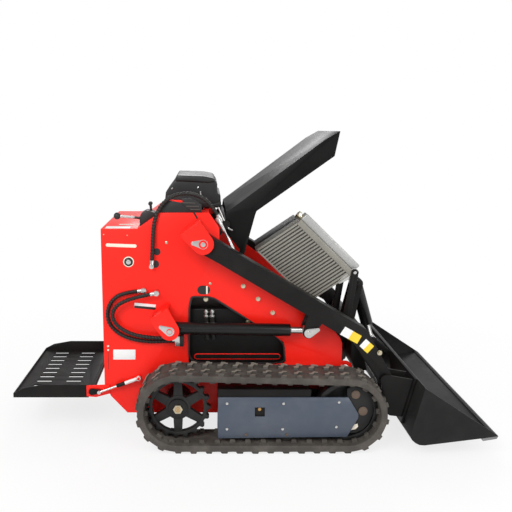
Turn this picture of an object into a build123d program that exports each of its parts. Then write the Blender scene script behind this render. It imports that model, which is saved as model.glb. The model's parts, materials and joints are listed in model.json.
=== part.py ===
# Mini skid steer loader on two rubber tracks, hood and cooler open for service
# Millimetres. X forward, Y to the left, Z up. X = 0 is the drive axle until save() centres the machine.
from build123d import *
import math
import os

os.makedirs("parts", exist_ok=True)

# Fits
fit = 0.3
sheet = 8.0

# Tracks and running gear
track_pitch = 73.0
track_links = 36
track_start = 5.0
rear_pitch_radius = 167.0
front_pitch_radius = 157.0
track_width = 180.0
track_gap = 30.0
carcass = 33.0
cord_depth = 9.0
lug_height = 9.0
lug_length = 24.0
lug_root = 2.0
lug_rows = 2
lug_row_gap = 10.0
lug_row_lag = 10.0
rear_inner = rear_pitch_radius - cord_depth
front_inner = front_pitch_radius - cord_depth
axle_z = rear_inner + carcass + lug_height
idler_z = front_inner + carcass + lug_height
axle_spacing = (track_pitch * track_links - math.pi * (rear_pitch_radius + front_pitch_radius)) / 2
sprocket_width = 30.0
sprocket_hub_radius = 47.0
sprocket_hub_length = 12.0
sprocket_nut_radius = 25.0
sprocket_nut_length = 14.0
sprocket_spokes = 6
spoke_width = 38.0
sprocket_web_inner = 62.0
sprocket_web_outer = 132.0
motor_radius = 62.0
idler_width = 70.0
idler_rim = 22.0
idler_web = 20.0
idler_pocket = 6.0
idler_holes = 6
idler_hole_radius = 21.0
idler_hole_circle = 86.0
idler_first_hole = 30.0
idler_hub_radius = 40.0
axle_radius = 16.0
roller_radius = 40.0
roller_width = 84.0
roller_axle_radius = 12.0
roller_places = (324.0, 518.0)
frame_rear_x = 190.0
frame_half_width = 47.0
frame_beam_low = 140.0
frame_beam_high = 305.0
frame_beam_front = 630.0
frame_arm_places = (270.0, 540.0)
frame_arm_length = 80.0
frame_arm_height = 60.0
cover_low = 62.0
cover_high = 268.0
cover_nose = 50.0
cover_nose_rise = 20.0
cover_front_rise = 8.0
cover_window = (365.0, 412.0, 172.0, 218.0)

# Body of the machine
body_half_width = 335.0
body_inner = body_half_width - sheet
track_centre_y = body_half_width + track_gap + track_width / 2
rear_x = -370.0
console_z = 1044.0
console_front_x = -196.0
deck_rear_x = -85.0
deck_front_x = 148.0
deck_z = 1122.0
belly_z = 112.0
window_points = ((48.0, 371.0), (50.0, 650.0), (62.0, 711.0), (144.0, 711.0), (178.0, 702.0), (517.0, 480.0),
                 (527.0, 371.0))
window_radius = 12.5
shoulder_run = 50.0
shoulder_drop = 74.0
brow_drop = 10.0
slope_end = (150.0, 50.0)
nose_chamfer = (10.0, 26.0)
nose_z = 474.0
chin_z = 220.0
chin_run = 100.0
belly_rear_x = -260.0
tail_chamfer = (30.0, 62.0)
tail_z = 262.0
tow_eye_x = 824.0
tow_eye_z = 347.0
tow_eye_radius = 36.0
tow_eye_bore = 17.0
tow_eye_root = 60.0
riser_lip = 4.0
deck_hole = (25.0, 18.0)
deck_hole_half_width = 220.0
belly_plate_rear_x = -255.0
belly_plate_front_gap = 105.0
front_plate_low = 228.0
front_plate_high = 440.0

# Lift arms, pivot and cylinders
arm_pivot = (120.0, 988.0)
arm_knee = (870.0, 540.0)
arm_foot = (1000.0, 322.0)
arm_foot_radius = 36.0
arm_depth = 85.0
arm_width = 80.0
arm_gap = 10.0
arm_y = body_half_width + arm_gap + arm_width / 2
arm_end_radius = 46.0
arm_cheek_radius = 50.0
arm_taper = 120.0
arm_pin_radius = 20.0
bracket_gap = 15.0
arm_bracket_corners = ((24.0, 1026.0), (100.0, 1090.0))
lift_bracket_corners = ((-122.0, 620.0), (-52.0, 672.0))
bracket_y = arm_y + arm_width / 2 + bracket_gap
lift_base = (-39.0, 569.0)
lift_eye = (623.0, 557.0)
lift_barrel_radius = 30.0
lift_barrel_end = 84.0
lift_rod_radius = 17.0
lift_rod_start = 100.0
lift_eye_radius = 28.0
lift_pin_radius = 14.0
lug_plate = 8.0
lug_set_back = 20.0
eye_relief = (30.0, 60.0)
eye_side_gap = 3.0
cross_tube = (915.0, 470.0)
cross_tube_radius = 42.0
cross_plate_gap = 20.0
cross_plate = ((854, 395), (854, 480), (885, 505), (935, 330), (874, 330))
tower_top = (940.0, 700.0)
tower_top_radius = 26.0
tower_plate = 12.0
tower_foot = (903.0, 530.0)
tower_foot_radius = 30.0
tower_inner_y = 38.0
tilt_eye = (1035.0, 385.0)
tilt_barrel_radius = 32.0
tilt_barrel_end = 90.0
tilt_rod_radius = 15.0
tilt_rod_start = 60.0
tilt_eye_radius = 24.0
tilt_pin_radius = 11.0
pin_head = 6.0
barrel_root = 0.75
bore_over = 1.0
rod_clear = 1.0
tilt_side_gap = 6.0

# Bucket and its carrier
bucket_half_width = 570.0
bucket_wall = 8.0
mouth_step = 12.0
bucket_top = (1143.0, 338.0)
bucket_foot = (1084.0, 104.0)
bucket_heel = ((1096.0, 82.0), (1112.0, 68.0), (1130.0, 59.0), (1154.0, 57.0))
bucket_lip = (1420.0, 92.0)
bucket_tip = (1496.0, 104.0)
edge_thickness = 14.0
edge_length = 72.0
carrier_half_width = 460.0
carrier_plate = 14.0
ear_plate = 8.0
ear_foot = (1030.0, 162.0)
ear_head_radius = 28.0
ear_foot_radius = 18.0
ear_gap = 5.0
ear_low = 40.0
ear_high = 20.0
carrier_foot = 10.0

# Hood
hood_side_gap = 27.0
hood_half_width = body_inner - hood_side_gap
hood_sheet = 6.0
hood_hinge = (230.0, 1065.0)
hood_hinge_radius = 14.0
hood_rear = (232.0, 1118.0)
hood_crown = (697.0, 1466.0)
hood_tip = (767.0, 1505.0)
hood_tip_low = (744.0, 1388.0)
hood_skirt = (377.0, 1125.0)
hood_horn = (308.0, 925.0)
hood_heel = (220.0, 1035.0)
crown_lap = 2.0
tip_lap = 11.0
hinge_ear_radius = 18.0
hinge_ear_foot = (176.0, 1010.0)

# Cooler, a bar and plate block on a front hinge
cooler_rear = (381.0, 921.0)
cooler_high = (604.0, 1073.0)
cooler_front = (876.0, 809.0)
cooler_y_near = -230.0
cooler_core_depth = 90.0
cooler_tank_depth = 70.0
cooler_tank_height = 42.0
shroud_depth = 150.0
cooler_pivot_radius = 16.0
cooler_ear_thickness = 4.0
cooler_pivot_gap = 2.0
cooler_ear_rim = 6.0
cooler_ear_reach = 90.0
cooler_ear_tip = 8.0
cooler_arm_rim = 2.0
cooler_arm_foot = (24.0, 430.0, 20.0)
cooler_arm_base = (20.0, 260.0, 436.0)
cooler_pin_radius = 8.0
tank_set_back = 10.0
shroud_inset = 8.0

# Control lever, boot block and pull knob on the console slope
lever_y = -262.0
lever_root = (-170.0, 1085.0)
lever_ball = (-299.0, 1097.0)
lever_radius = 6.0
lever_ball_radius = 17.0
boot_rear_x = -186.0
boot_front_x = -104.0
boot_points = ((-186.0, 1096.0), (-176.0, 1116.0), (-152.0, 1128.0), (-124.0, 1122.0))
boot_half_width = 40.0
pull_root = (-132.0, 1110.0)
pull_head = (-136.0, 1158.0)
pull_knob_radius = 10.0
pull_knob_half = 12.0

# Heavy and small things inside and on top
engine_box = (-60.0, 330.0, 400.0, 300.0, 800.0)
rail_width = 60.0
oil_tank_gap = 27.0
oil_tank_depth = 60.0
oil_tank_box = (30.0, 540.0, 640.0)
cleaner_box = (-37.0, 190.0, 360.0, 1168.0, 1250.0)
cleaner_round = 24.0
cleaner_neck = (10.0, 120.0, 70.0)

# Stay of the hood
stay_pin = (367.0, 1140.0)
stay_guide = (296.0, 872.0)
stay_width = 26.0
stay_sheet = 5.0
stay_pin_radius = 7.0
stay_tail = 18.0
stay_gap = 1.0
stay_pin_tail = 6.0

# Hoses
hose_radius = 10.0
bend_share = 0.45
fitting_radius = 11.0
ferrule_length = 30.0
end_ferrule_length = 22.0
small_post_radius = 11.0
large_post_radius = 13.0
port_depth = 45.0
port_low = (-16.0, 24.0, 476.0, 504.0)
port_high = (-30.0, 24.0, 500.0, 524.0)
port_high_gap = 21.0
pipe_foot = (262.0, 944.0)
pipe_radius = 4.0
pipe_gap = 1.0
pipe_foot_half = 8.0
pipe_foot_depth = 6.0
pipe_foot_reach = (30.0, 4.0)

# Standing platform
platform_hinge = (-433.0, 227.0)
platform_tail_x = -828.0
platform_front_x = -452.0
platform_half_width = body_half_width
platform_floor_z = 206.0
platform_flange_z = 258.0
platform_sheet = 6.0
platform_lip = 8.0
platform_slot_rows = 10
platform_slot_length = 78.0
platform_slot_width = 22.0
platform_plate = 6.0
platform_shaft_radius = 10.0
platform_crank = (-395.0, 229.0)
platform_anchor = (-199.0, 302.0)
strut_gap = 8.0
strut_inner_y = body_half_width + strut_gap
strut_barrel_radius = 9.0
strut_rod_radius = 5.0
strut_rod_start = 45.0
strut_eye_half = 6.0
strut_barrel_root = 9.5
strut_barrel_share = 0.55
strut_barrel_eye_radius = 11.0
strut_rod_eye_radius = 9.0
strut_pin_radius = 6.0
strut_post_radius = 9.0
strut_gap_to_crank = 1.0
platform_columns = 2
platform_column_share = 0.82
platform_side_margin = 30.0
platform_tail_rise = 8.0
platform_flange_tail = (50.0, 18.0)
platform_flange_run = 150.0
platform_ear_radius = 16.0
platform_crank_radius = 10.0
platform_arm_foot = 30.0
platform_side_gap = 1.0
hinge_plate_points = ((-461.0, 200.0), (-461.0, 256.0), (-345.0, 262.0), (-345.0, 215.0), (-413.0, 196.0))

# Everything is measured from the drive axle, then moved so that the machine is centred
centre_x = (bucket_tip[0] + platform_tail_x) / 2


def save(name, *shapes):
    solids = [solid for shape in shapes for solid in (Pos(-centre_x, 0, 0) * shape).solids()]
    export_step(solids[0] if len(solids) == 1 else Compound(solids), "parts/" + name + ".step")


def block(x_low, x_high, y_low, y_high, z_low, z_high):
    size = Box(x_high - x_low, y_high - y_low, z_high - z_low)
    return Pos((x_low + x_high) / 2, (y_low + y_high) / 2, (z_low + z_high) / 2) * size


def pin(at, radius, y_low, y_high):
    place = Pos(at[0], (y_low + y_high) / 2, at[1])
    return place * Rot(90, 0, 0) * Cylinder(radius, abs(y_high - y_low))


def plate(points, y_low, y_high):
    face = make_face(Polyline(*[(x, z) for x, z in points], close=True))
    return Pos(0, y_low, 0) * extrude(Plane.XZ * face, amount=y_high - y_low, dir=(0, 1, 0))


def hull(circles, y_low, y_high):
    rings = [Pos(x, z) * Circle(radius) for x, z, radius in circles]
    face = make_hull([edge for ring in rings for edge in ring.edges()])
    return Pos(0, y_low, 0) * extrude(Plane.XZ * face, amount=y_high - y_low, dir=(0, 1, 0))


def bar(start, end, radius, y):
    run = Vector(end[0] - start[0], 0, end[1] - start[1])
    middle = ((start[0] + end[0]) / 2, y, (start[1] + end[1]) / 2)
    return Plane(origin=middle, z_dir=run) * Cylinder(radius, run.length)


def along(start, end, distance):
    run = math.dist(start, end)
    return tuple(a + (b - a) * distance / run for a, b in zip(start, end))


def other_side(shape):
    return mirror(shape, about=Plane.XZ)


def save_pair(name, shape):
    save(name + "_right", shape)
    save(name + "_left", other_side(shape))


# Track belt with its lugs
def station(distance):
    tilt = 2 * math.atan((rear_pitch_radius - front_pitch_radius) / axle_spacing)
    run = axle_spacing
    rear_arc = rear_pitch_radius * (math.pi + tilt)
    front_arc = front_pitch_radius * (math.pi - tilt)
    distance %= 2 * run + rear_arc + front_arc
    if distance < run:
        return distance, axle_z - rear_pitch_radius, -math.pi / 2
    distance -= run
    if distance < front_arc:
        turn = -math.pi / 2 + distance / front_pitch_radius
        return (axle_spacing + front_pitch_radius * math.cos(turn),
                idler_z + front_pitch_radius * math.sin(turn), turn)
    distance -= front_arc
    turn = math.pi / 2 - tilt
    if distance < run:
        x = axle_spacing + front_pitch_radius * math.cos(turn) - distance * math.cos(tilt)
        return x, idler_z + front_pitch_radius * math.sin(turn) + distance * math.sin(tilt), turn
    turn += (distance - run) / rear_pitch_radius
    return rear_pitch_radius * math.cos(turn), axle_z + rear_pitch_radius * math.sin(turn), turn


def loop(depth):
    y_low, y_high = -track_centre_y - track_width / 2, -track_centre_y + track_width / 2
    rear = (0, axle_z, rear_pitch_radius + depth)
    front = (axle_spacing, idler_z, front_pitch_radius + depth)
    return hull([rear, front], y_low, y_high)


def track():
    belt = loop(carcass - cord_depth) - loop(-cord_depth)
    row_width = (track_width - lug_row_gap) / lug_rows
    lugs = []
    for row in range(lug_rows):
        row_y = -track_centre_y + (row - (lug_rows - 1) / 2) * (row_width + lug_row_gap)
        for link in range(track_links):
            x, z, turn = station(track_start + link * track_pitch - row * lug_row_lag)
            reach = carcass - cord_depth + (lug_height - lug_root) / 2
            lug = Box(lug_height + lug_root, row_width, lug_length)
            lugs.append(Pos(x, row_y, z) * Rot(0, -math.degrees(turn), 0) * Pos(reach, 0, 0) * lug)
    return belt.fuse(*lugs) & loop(carcass - cord_depth + lug_height)


def sprocket():
    wheel = rear_inner - fit
    face_y = -track_centre_y - sprocket_width / 2
    back_y = -track_centre_y + sprocket_width / 2
    hub_y = face_y - sprocket_hub_length
    axle = (0.0, axle_z)
    disc = pin(axle, wheel, face_y, back_y)
    ring = pin(axle, sprocket_web_outer, face_y, back_y) - pin(axle, sprocket_web_inner, face_y, back_y)
    for spoke in range(sprocket_spokes // 2):
        spoke_bar = Box(2 * wheel, sprocket_width, spoke_width)
        turn = 90 + spoke * 360 / sprocket_spokes
        ring -= Pos(0, -track_centre_y, axle_z) * Rot(0, turn, 0) * spoke_bar
    hub = pin(axle, sprocket_hub_radius, hub_y, face_y)
    nut = pin(axle, sprocket_nut_radius, hub_y - sprocket_nut_length, hub_y)
    motor = pin(axle, motor_radius, back_y, -body_half_width)
    return disc - ring + hub + nut + motor


def idler():
    axle = (axle_spacing, idler_z)
    wheel = front_inner - fit
    near, far = -track_centre_y - idler_width / 2, -track_centre_y + idler_width / 2
    rim = pin(axle, wheel, near, far) - pin(axle, wheel - idler_rim, near, far)
    web = pin(axle, wheel, -track_centre_y - idler_web / 2, -track_centre_y + idler_web / 2)
    for hole in range(idler_holes):
        turn = math.radians(idler_first_hole + hole * 360 / idler_holes)
        at = (axle[0] + idler_hole_circle * math.cos(turn), axle[1] + idler_hole_circle * math.sin(turn))
        web -= pin(at, idler_hole_radius, near, -track_centre_y - idler_web / 2 + idler_pocket)
    hub = pin(axle, idler_hub_radius, near, far)
    shaft = pin(axle, axle_radius, -track_centre_y - frame_half_width, -track_centre_y + frame_half_width)
    return rim + web + hub + shaft


def rollers():
    half = roller_width / 2
    wheels = []
    for x in roller_places:
        at = (x, axle_z - rear_inner + roller_radius + fit)
        wheel = pin(at, roller_radius, -track_centre_y - half, -track_centre_y + half)
        reach = frame_half_width
        axle = pin(at, roller_axle_radius, -track_centre_y - reach, -track_centre_y + reach)
        wheels.append(wheel + axle)
    return wheels


def cover_points():
    front = axle_spacing
    return [
        (frame_rear_x, cover_low),
        (frame_rear_x, cover_high),
        (front, cover_high),
        (front + cover_nose, (cover_low + cover_high) / 2 + cover_nose_rise),
        (front + cover_nose, (cover_low + cover_high) / 2),
        (front, cover_low + cover_front_rise),
    ]


def track_cover():
    near = -track_centre_y - frame_half_width
    cover = plate(cover_points(), near - sheet, near)
    x_low, x_high, z_low, z_high = cover_window
    return cover - block(x_low, x_high, near - sheet, near, z_low, z_high)


def track_frame():
    near, far = -track_centre_y - frame_half_width, -track_centre_y + frame_half_width
    beam = block(frame_rear_x, frame_beam_front, near, far, frame_beam_low, frame_beam_high)
    frame = beam + plate(cover_points(), far, far + sheet)
    for x in frame_arm_places:
        low = frame_beam_high - frame_arm_height
        frame += block(x, x + frame_arm_length, far, -body_half_width, low, frame_beam_high)
    return frame


save_pair("track", track())
save_pair("sprocket", sprocket())
save_pair("idler", idler())
save_pair("track_cover", track_cover())
save_pair("track_frame", track_frame())
right_rollers = rollers()
save("rollers_right", *right_rollers)
save("rollers_left", *[other_side(roller) for roller in right_rollers])


# Side plates with their windows
def side_plate():
    front = axle_spacing
    outline = [
        (rear_x, console_z),
        (console_front_x, console_z),
        (deck_rear_x, deck_z),
        (deck_front_x, deck_z),
        (deck_front_x + shoulder_run, deck_z - shoulder_drop),
        (deck_front_x + shoulder_run, arm_pivot[1] - brow_drop),
        (arm_knee[0] - slope_end[0], arm_knee[1] + slope_end[1]),
        (front - nose_chamfer[0], nose_z + nose_chamfer[1]),
        (front, nose_z),
        (front, chin_z),
        (front - chin_run, belly_z),
        (belly_rear_x, belly_z),
        (rear_x + tail_chamfer[0], tail_z - tail_chamfer[1]),
        (rear_x, tail_z),
    ]
    panel = plate(outline, -body_half_width, -body_inner)
    cut = plate(window_points, -body_half_width, -body_inner)
    cut = fillet(cut.edges().filter_by(Axis.Y), window_radius)
    eye = hull([(tow_eye_x, tow_eye_z, tow_eye_radius), (front - tow_eye_root, tow_eye_z, tow_eye_radius)],
               -body_half_width, -body_inner)
    bore = pin((tow_eye_x, tow_eye_z), tow_eye_bore, -body_half_width, -body_inner)
    return panel - cut + eye - bore


def bracket(at, radius, corners):
    ends = [(x, z, sheet) for x, z in corners]
    cheek = hull([(at[0], at[1], radius)] + ends, -bracket_y, -bracket_y + sheet)
    back = hull(ends, -bracket_y, -body_half_width)
    return cheek + back


side = side_plate()
save_pair("side_plate", side)
arm_pin = pin(arm_pivot, arm_pin_radius, -bracket_y - sheet, -body_half_width)
lift_pin = pin(lift_base, lift_pin_radius, -bracket_y - sheet, -body_half_width)
arm_bracket = bracket(arm_pivot, arm_cheek_radius, arm_bracket_corners) + arm_pin
lift_bracket = bracket(lift_base, arm_end_radius, lift_bracket_corners) + lift_pin
save_pair("arm_bracket", arm_bracket)
save_pair("lift_bracket", lift_bracket)

# Panels between the side plates
save("rear_panel", block(rear_x, rear_x + sheet, -body_inner, body_inner, tail_z, console_z - sheet))
save("console_top", block(rear_x, console_front_x, -body_inner, body_inner, console_z - sheet, console_z))
riser = [
    (console_front_x, console_z - sheet),
    (console_front_x, console_z),
    (deck_rear_x, deck_z),
    (deck_front_x, deck_z),
    (deck_front_x, deck_z - sheet),
    (deck_rear_x + riser_lip, deck_z - sheet),
]
deck = plate(riser, -body_inner, body_inner)
hole_rear, hole_front = deck_rear_x + deck_hole[0], deck_front_x - deck_hole[1]
hole_half = deck_hole_half_width
deck -= block(hole_rear, hole_front, -hole_half, hole_half, deck_z - 2 * sheet, deck_z + sheet)
save("top_deck", deck)
belly_front_x = axle_spacing - belly_plate_front_gap
belly = block(belly_plate_rear_x, belly_front_x, -body_inner, body_inner, belly_z, belly_z + sheet)
save("belly_plate", belly)
front_face = axle_spacing - sheet
front_back = front_face - sheet
front = block(front_back, front_face, -body_inner, body_inner, front_plate_low, front_plate_high)
save("front_plate", front)

# Engine on its rails, oil tank and air cleaner
ex0, ex1, ewide, ez0, ez1 = engine_box
save("engine_block", block(ex0, ex1, -ewide / 2, ewide / 2, ez0, ez1))
rail = block(ex0, ex1, -ewide / 2, -ewide / 2 + rail_width, belly_z + sheet, ez0)
save("engine_rails", rail, other_side(rail))
tank_rear, tank_front, tank_top = oil_tank_box
tank_near = -body_inner + oil_tank_gap
tank_far = tank_near + oil_tank_depth
save("oil_tank", block(tank_rear, tank_front, tank_near, tank_far, belly_z + sheet, tank_top))
cx0, cx1, cwide, cz0, cz1 = cleaner_box
cleaner = fillet(block(cx0, cx1, -cwide / 2, cwide / 2, cz0, cz1).edges().filter_by(Axis.Y), cleaner_round)
neck_rear, neck_front, neck_half = cleaner_neck
neck = block(neck_rear, neck_front, -neck_half, neck_half, ez1, cz0)
save("air_cleaner", cleaner + neck)


# Control lever with its ball, the boot block on the console slope and a small pull knob
def on_slope(x):
    share = (x - console_front_x) / (deck_rear_x - console_front_x)
    return x, console_z + share * (deck_z - console_z)


boot = plate([on_slope(boot_rear_x), *boot_points, on_slope(boot_front_x)], lever_y - boot_half_width,
             lever_y + boot_half_width)
stick = bar(lever_root, lever_ball, lever_radius, lever_y)
pull = bar(pull_root, pull_head, lever_radius, lever_y)
ball = Pos(lever_ball[0], lever_y, lever_ball[1]) * Sphere(lever_ball_radius)
knob = pin(pull_head, pull_knob_radius, lever_y - pull_knob_half, lever_y + pull_knob_half)
save("control_levers", boot + stick + ball + pull + knob)


# Lift arms
def arm():
    y_low, y_high = -arm_y - arm_width / 2, -arm_y + arm_width / 2
    half = arm_depth / 2
    taper_end = (*along(arm_pivot, arm_knee, arm_taper), half)
    beam = hull([(*arm_pivot, arm_end_radius), taper_end], y_low, y_high)
    beam += hull([taper_end, (*arm_knee, half)], y_low, y_high)
    beam += hull([(*arm_knee, half), (*arm_foot, arm_foot_radius)], y_low, y_high)
    on_arm = along(arm_pivot, arm_knee, math.dist(arm_pivot, lift_eye) - lug_set_back)
    for y in (y_low, y_high - lug_plate):
        beam += hull([(*lift_eye, lift_eye_radius), (*on_arm, half)], y, y + lug_plate)
    inner_low, inner_high = y_low + lug_plate, y_high - lug_plate
    relief = (lift_eye[0] - eye_relief[0], lift_eye[1] - eye_relief[1], eye_relief[0])
    beam -= hull([(*lift_eye, lift_eye_radius), relief], inner_low, inner_high)
    beam -= pin(arm_pivot, arm_pin_radius + fit, y_low, y_high)
    beam -= pin(arm_foot, lift_pin_radius + fit, y_low, y_high)
    for y in (y_low - sheet, y_high - lug_plate):
        beam += pin(lift_eye, lift_pin_radius, y, y + sheet + lug_plate)
    return beam


save_pair("arm", arm())
arm_inner = arm_y - arm_width / 2
cross_member = pin(cross_tube, cross_tube_radius, -arm_inner, arm_inner)
cross_plate_half = arm_inner - cross_plate_gap
cross_member += plate(cross_plate, -cross_plate_half, cross_plate_half)
save("arm_cross_tube", cross_member)
tower_outer = tower_inner_y + tower_plate
tower = []
for y in (-tower_outer, tower_inner_y):
    cheek = hull([(*tower_top, tower_top_radius), (*tower_foot, tower_foot_radius)], y, y + tower_plate)
    tower.append(cheek - pin(cross_tube, cross_tube_radius, y, y + tower_plate))
tower_pin = pin(tower_top, tilt_pin_radius, -tower_outer - sheet, tower_outer + sheet)
save("tilt_tower", tower[0] + tower[1] + tower_pin)


# Cylinders: barrel with its base eye, rod with its rod eye
def barrel(base, eye, radius, eye_radius, bore, end, half, y):
    mouth = along(base, eye, math.dist(base, eye) - end)
    tube = bar(along(base, eye, barrel_root * radius), mouth, radius, y)
    knuckle = pin(base, eye_radius, y - half, y + half)
    return tube + knuckle - pin(base, bore + fit, y - half, y + half)


def rod_bore(base, eye, radius, end, start, y):
    mouth = along(base, eye, math.dist(base, eye) - end + bore_over)
    return bar(along(base, eye, start), mouth, radius + fit, y)


def rod(base, eye, radius, eye_radius, start, half, y):
    length = math.dist(base, eye)
    shaft = bar(along(base, eye, start + rod_clear), along(base, eye, length - eye_radius / 2), radius, y)
    return shaft + pin(eye, eye_radius, y - half, y + half)


lift_half = lift_barrel_radius - eye_side_gap
lift_barrel = barrel(lift_base, lift_eye, lift_barrel_radius, lift_barrel_radius, lift_pin_radius,
                     lift_barrel_end, lift_half, -arm_y)
lift_barrel -= rod_bore(lift_base, lift_eye, lift_rod_radius, lift_barrel_end, lift_rod_start, -arm_y)
lift_rod = rod(lift_base, lift_eye, lift_rod_radius, lift_eye_radius, lift_rod_start, lift_half, -arm_y)
lift_rod -= pin(lift_eye, lift_pin_radius + fit, -arm_y - lift_half, -arm_y + lift_half)
save_pair("lift_barrel", lift_barrel)
save_pair("lift_rod", lift_rod)
tilt_half = tower_inner_y - tilt_side_gap
tilt_barrel = barrel(tower_top, tilt_eye, tilt_barrel_radius, tilt_barrel_radius, tilt_pin_radius,
                     tilt_barrel_end, tilt_half, 0)
tilt_barrel -= rod_bore(tower_top, tilt_eye, tilt_rod_radius, tilt_barrel_end, tilt_rod_start, 0)
tilt_rod = rod(tower_top, tilt_eye, tilt_rod_radius, tilt_eye_radius, tilt_rod_start, tilt_half, 0)
tilt_rod -= pin(tilt_eye, tilt_pin_radius + fit, -tilt_half, tilt_half)
save("tilt_barrel", tilt_barrel)
save("tilt_rod", tilt_rod)


# Bucket, cutting edge and the carrier behind it
def bucket():
    outline = [bucket_top, bucket_foot, *bucket_heel, bucket_lip, bucket_tip]
    solid = plate(outline, -bucket_half_width, bucket_half_width)
    face = make_face(Polyline(*outline, close=True))
    hollow = offset(face, -bucket_wall, kind=Kind.INTERSECTION)
    mouth = Vector(bucket_top[1] - bucket_tip[1], bucket_tip[0] - bucket_top[0]).normalized()
    depth = 2 * (bucket_half_width - bucket_wall)
    for step in (0, mouth_step):
        cut = extrude(Plane.XZ * (Pos(mouth.X * step, mouth.Y * step) * hollow), amount=depth, dir=(0, 1, 0))
        solid -= Pos(0, -depth / 2, 0) * cut
    return solid


shell = bucket()
edge_back = along(bucket_tip, bucket_lip, edge_length)
edge_points = [
    bucket_tip,
    (bucket_tip[0] - edge_thickness / 2, bucket_tip[1] - edge_thickness),
    (edge_back[0], edge_back[1] - edge_thickness),
    edge_back,
]
edge = plate(edge_points, -bucket_half_width, bucket_half_width)
save("bucket_shell", shell)
save("cutting_edge", edge)
back_run = Vector(bucket_top[0] - bucket_foot[0], bucket_top[1] - bucket_foot[1]).normalized()
behind = Vector(-back_run.Y, back_run.X)


def at_back(up, out):
    spot = Vector(*bucket_foot) + back_run * up + behind * out
    return spot.X, spot.Y


back_height = math.dist(bucket_top, bucket_foot)
carrier = plate([at_back(carrier_foot, 0), at_back(back_height, 0), at_back(back_height, carrier_plate),
                 at_back(carrier_foot, carrier_plate)], -carrier_half_width, carrier_half_width)
low_mid = at_back(ear_low, carrier_plate / 2)
high_mid = at_back(back_height - ear_high, carrier_plate / 2)
ear_face = arm_width / 2 + ear_gap
inner_ear = (arm_y - ear_face - ear_plate, arm_y - ear_face)
outer_ear = (arm_y + ear_face, arm_y + ear_face + ear_plate)
for low, high in (inner_ear, outer_ear):
    ear = hull([(*arm_foot, ear_head_radius), (*ear_foot, ear_foot_radius), (*low_mid, carrier_plate / 2),
                (*high_mid, carrier_plate / 2)], -high, -low)
    carrier += ear + other_side(ear)
for side_sign in (-1, 1):
    ends = sorted((side_sign * inner_ear[0], side_sign * outer_ear[1]))
    carrier += pin(arm_foot, lift_pin_radius, ends[0], ends[1])
for y in (-tower_outer, tower_inner_y):
    carrier += hull([(*tilt_eye, tilt_eye_radius), (*high_mid, carrier_plate / 2)], y, y + tower_plate)
for y in (-tower_outer - pin_head, tower_inner_y):
    carrier += pin(tilt_eye, tilt_pin_radius, y, y + tower_plate + pin_head)
carrier -= shell
save("quick_attach_plate", carrier)


# Hood: top sheet, front lip and two side skirts
def hood():
    outline = [hood_rear, hood_crown, hood_tip, hood_tip_low, hood_skirt, hood_horn, hood_heel]
    under = hood_sheet + crown_lap
    near = plate(outline, -hood_half_width, -hood_half_width + hood_sheet)
    crown = plate([hood_rear, hood_crown, hood_tip, hood_tip_low,
                   (hood_tip_low[0] - hood_sheet, hood_tip_low[1]),
                   (hood_tip[0] - under, hood_tip[1] - tip_lap),
                   (hood_crown[0] + crown_lap, hood_crown[1] - under),
                   (hood_rear[0] + crown_lap, hood_rear[1] - under)],
                  -hood_half_width, hood_half_width)
    tube = pin(hood_hinge, hood_hinge_radius, -hood_half_width, hood_half_width)
    return near + other_side(near) + crown + tube


hinge_pins = []
for side_sign in (-1, 1):
    ends = sorted((side_sign * (hood_half_width + fit), side_sign * body_inner))
    hinge_pins.append(pin(hood_hinge, hood_hinge_radius, ends[0], ends[1]))
    ear_ends = sorted((side_sign * (body_inner - sheet), side_sign * body_inner))
    hinge_pins[-1] += hull([(*hood_hinge, hinge_ear_radius), (*hinge_ear_foot, hinge_ear_radius)], *ear_ends)
hood_cover = hood()


# Cooler core, its tank and the fan shroud behind it
cooler_low = tuple(a + b - c for a, b, c in zip(cooler_rear, cooler_front, cooler_high))
core_back_y = cooler_y_near + cooler_core_depth
core = plate([cooler_rear, cooler_high, cooler_front, cooler_low], cooler_y_near, core_back_y)
run = Vector(cooler_front[0] - cooler_high[0], cooler_front[1] - cooler_high[1]).normalized()
out = Vector(-run.Y, run.X)
tank_corners = [(point[0] + out.X * cooler_tank_height, point[1] + out.Y * cooler_tank_height)
                for point in (cooler_front, cooler_high)]
tank_face = cooler_y_near + tank_set_back
tank = plate([cooler_high, cooler_front, *tank_corners], tank_face, tank_face + cooler_tank_depth)
shroud_corners = [
    along(cooler_rear, cooler_high, shroud_inset),
    along(cooler_high, cooler_rear, shroud_inset),
    along(cooler_front, cooler_low, shroud_inset),
    along(cooler_low, cooler_front, shroud_inset),
]
shroud = plate(shroud_corners, core_back_y, core_back_y + shroud_depth)
save("cooler_core", core)
save("cooler_tank", tank)
save("fan_shroud", shroud)

# Bracket that carries the cooler, with the ears and pins it turns on
cooler_arms = []
cooler_ears = []
for side_sign, face_y in ((-1, cooler_y_near), (1, core_back_y + shroud_depth)):
    ear_ends = sorted((face_y, face_y + side_sign * cooler_ear_thickness))
    arm_start = face_y + side_sign * (cooler_ear_thickness + cooler_pivot_gap)
    arm_ends = sorted((arm_start, arm_start + side_sign * sheet))
    pin_ends = sorted((face_y, arm_start + side_sign * sheet))
    ear_end = along(cooler_front, cooler_low, cooler_ear_reach)
    ear_root = (*cooler_front, cooler_pivot_radius + cooler_ear_rim)
    ear = hull([ear_root, (*ear_end, cooler_ear_tip)], *ear_ends)
    cooler_ears.append(ear + pin(cooler_front, cooler_pin_radius, *pin_ends))
    foot_run, foot_z, foot_radius = cooler_arm_foot
    arm_blank = hull([(*cooler_front, cooler_pivot_radius + cooler_arm_rim),
                      (front_face + foot_run, foot_z, foot_radius)], *arm_ends)
    base_run, base_low, base_high = cooler_arm_base
    arm_blank += block(front_face, front_face + base_run, *arm_ends, base_low, base_high)
    cooler_arms.append(arm_blank - pin(cooler_front, cooler_pin_radius + fit, *arm_ends))
save("cooler_bracket", *cooler_arms)
save("cooler_ears", *cooler_ears)


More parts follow.
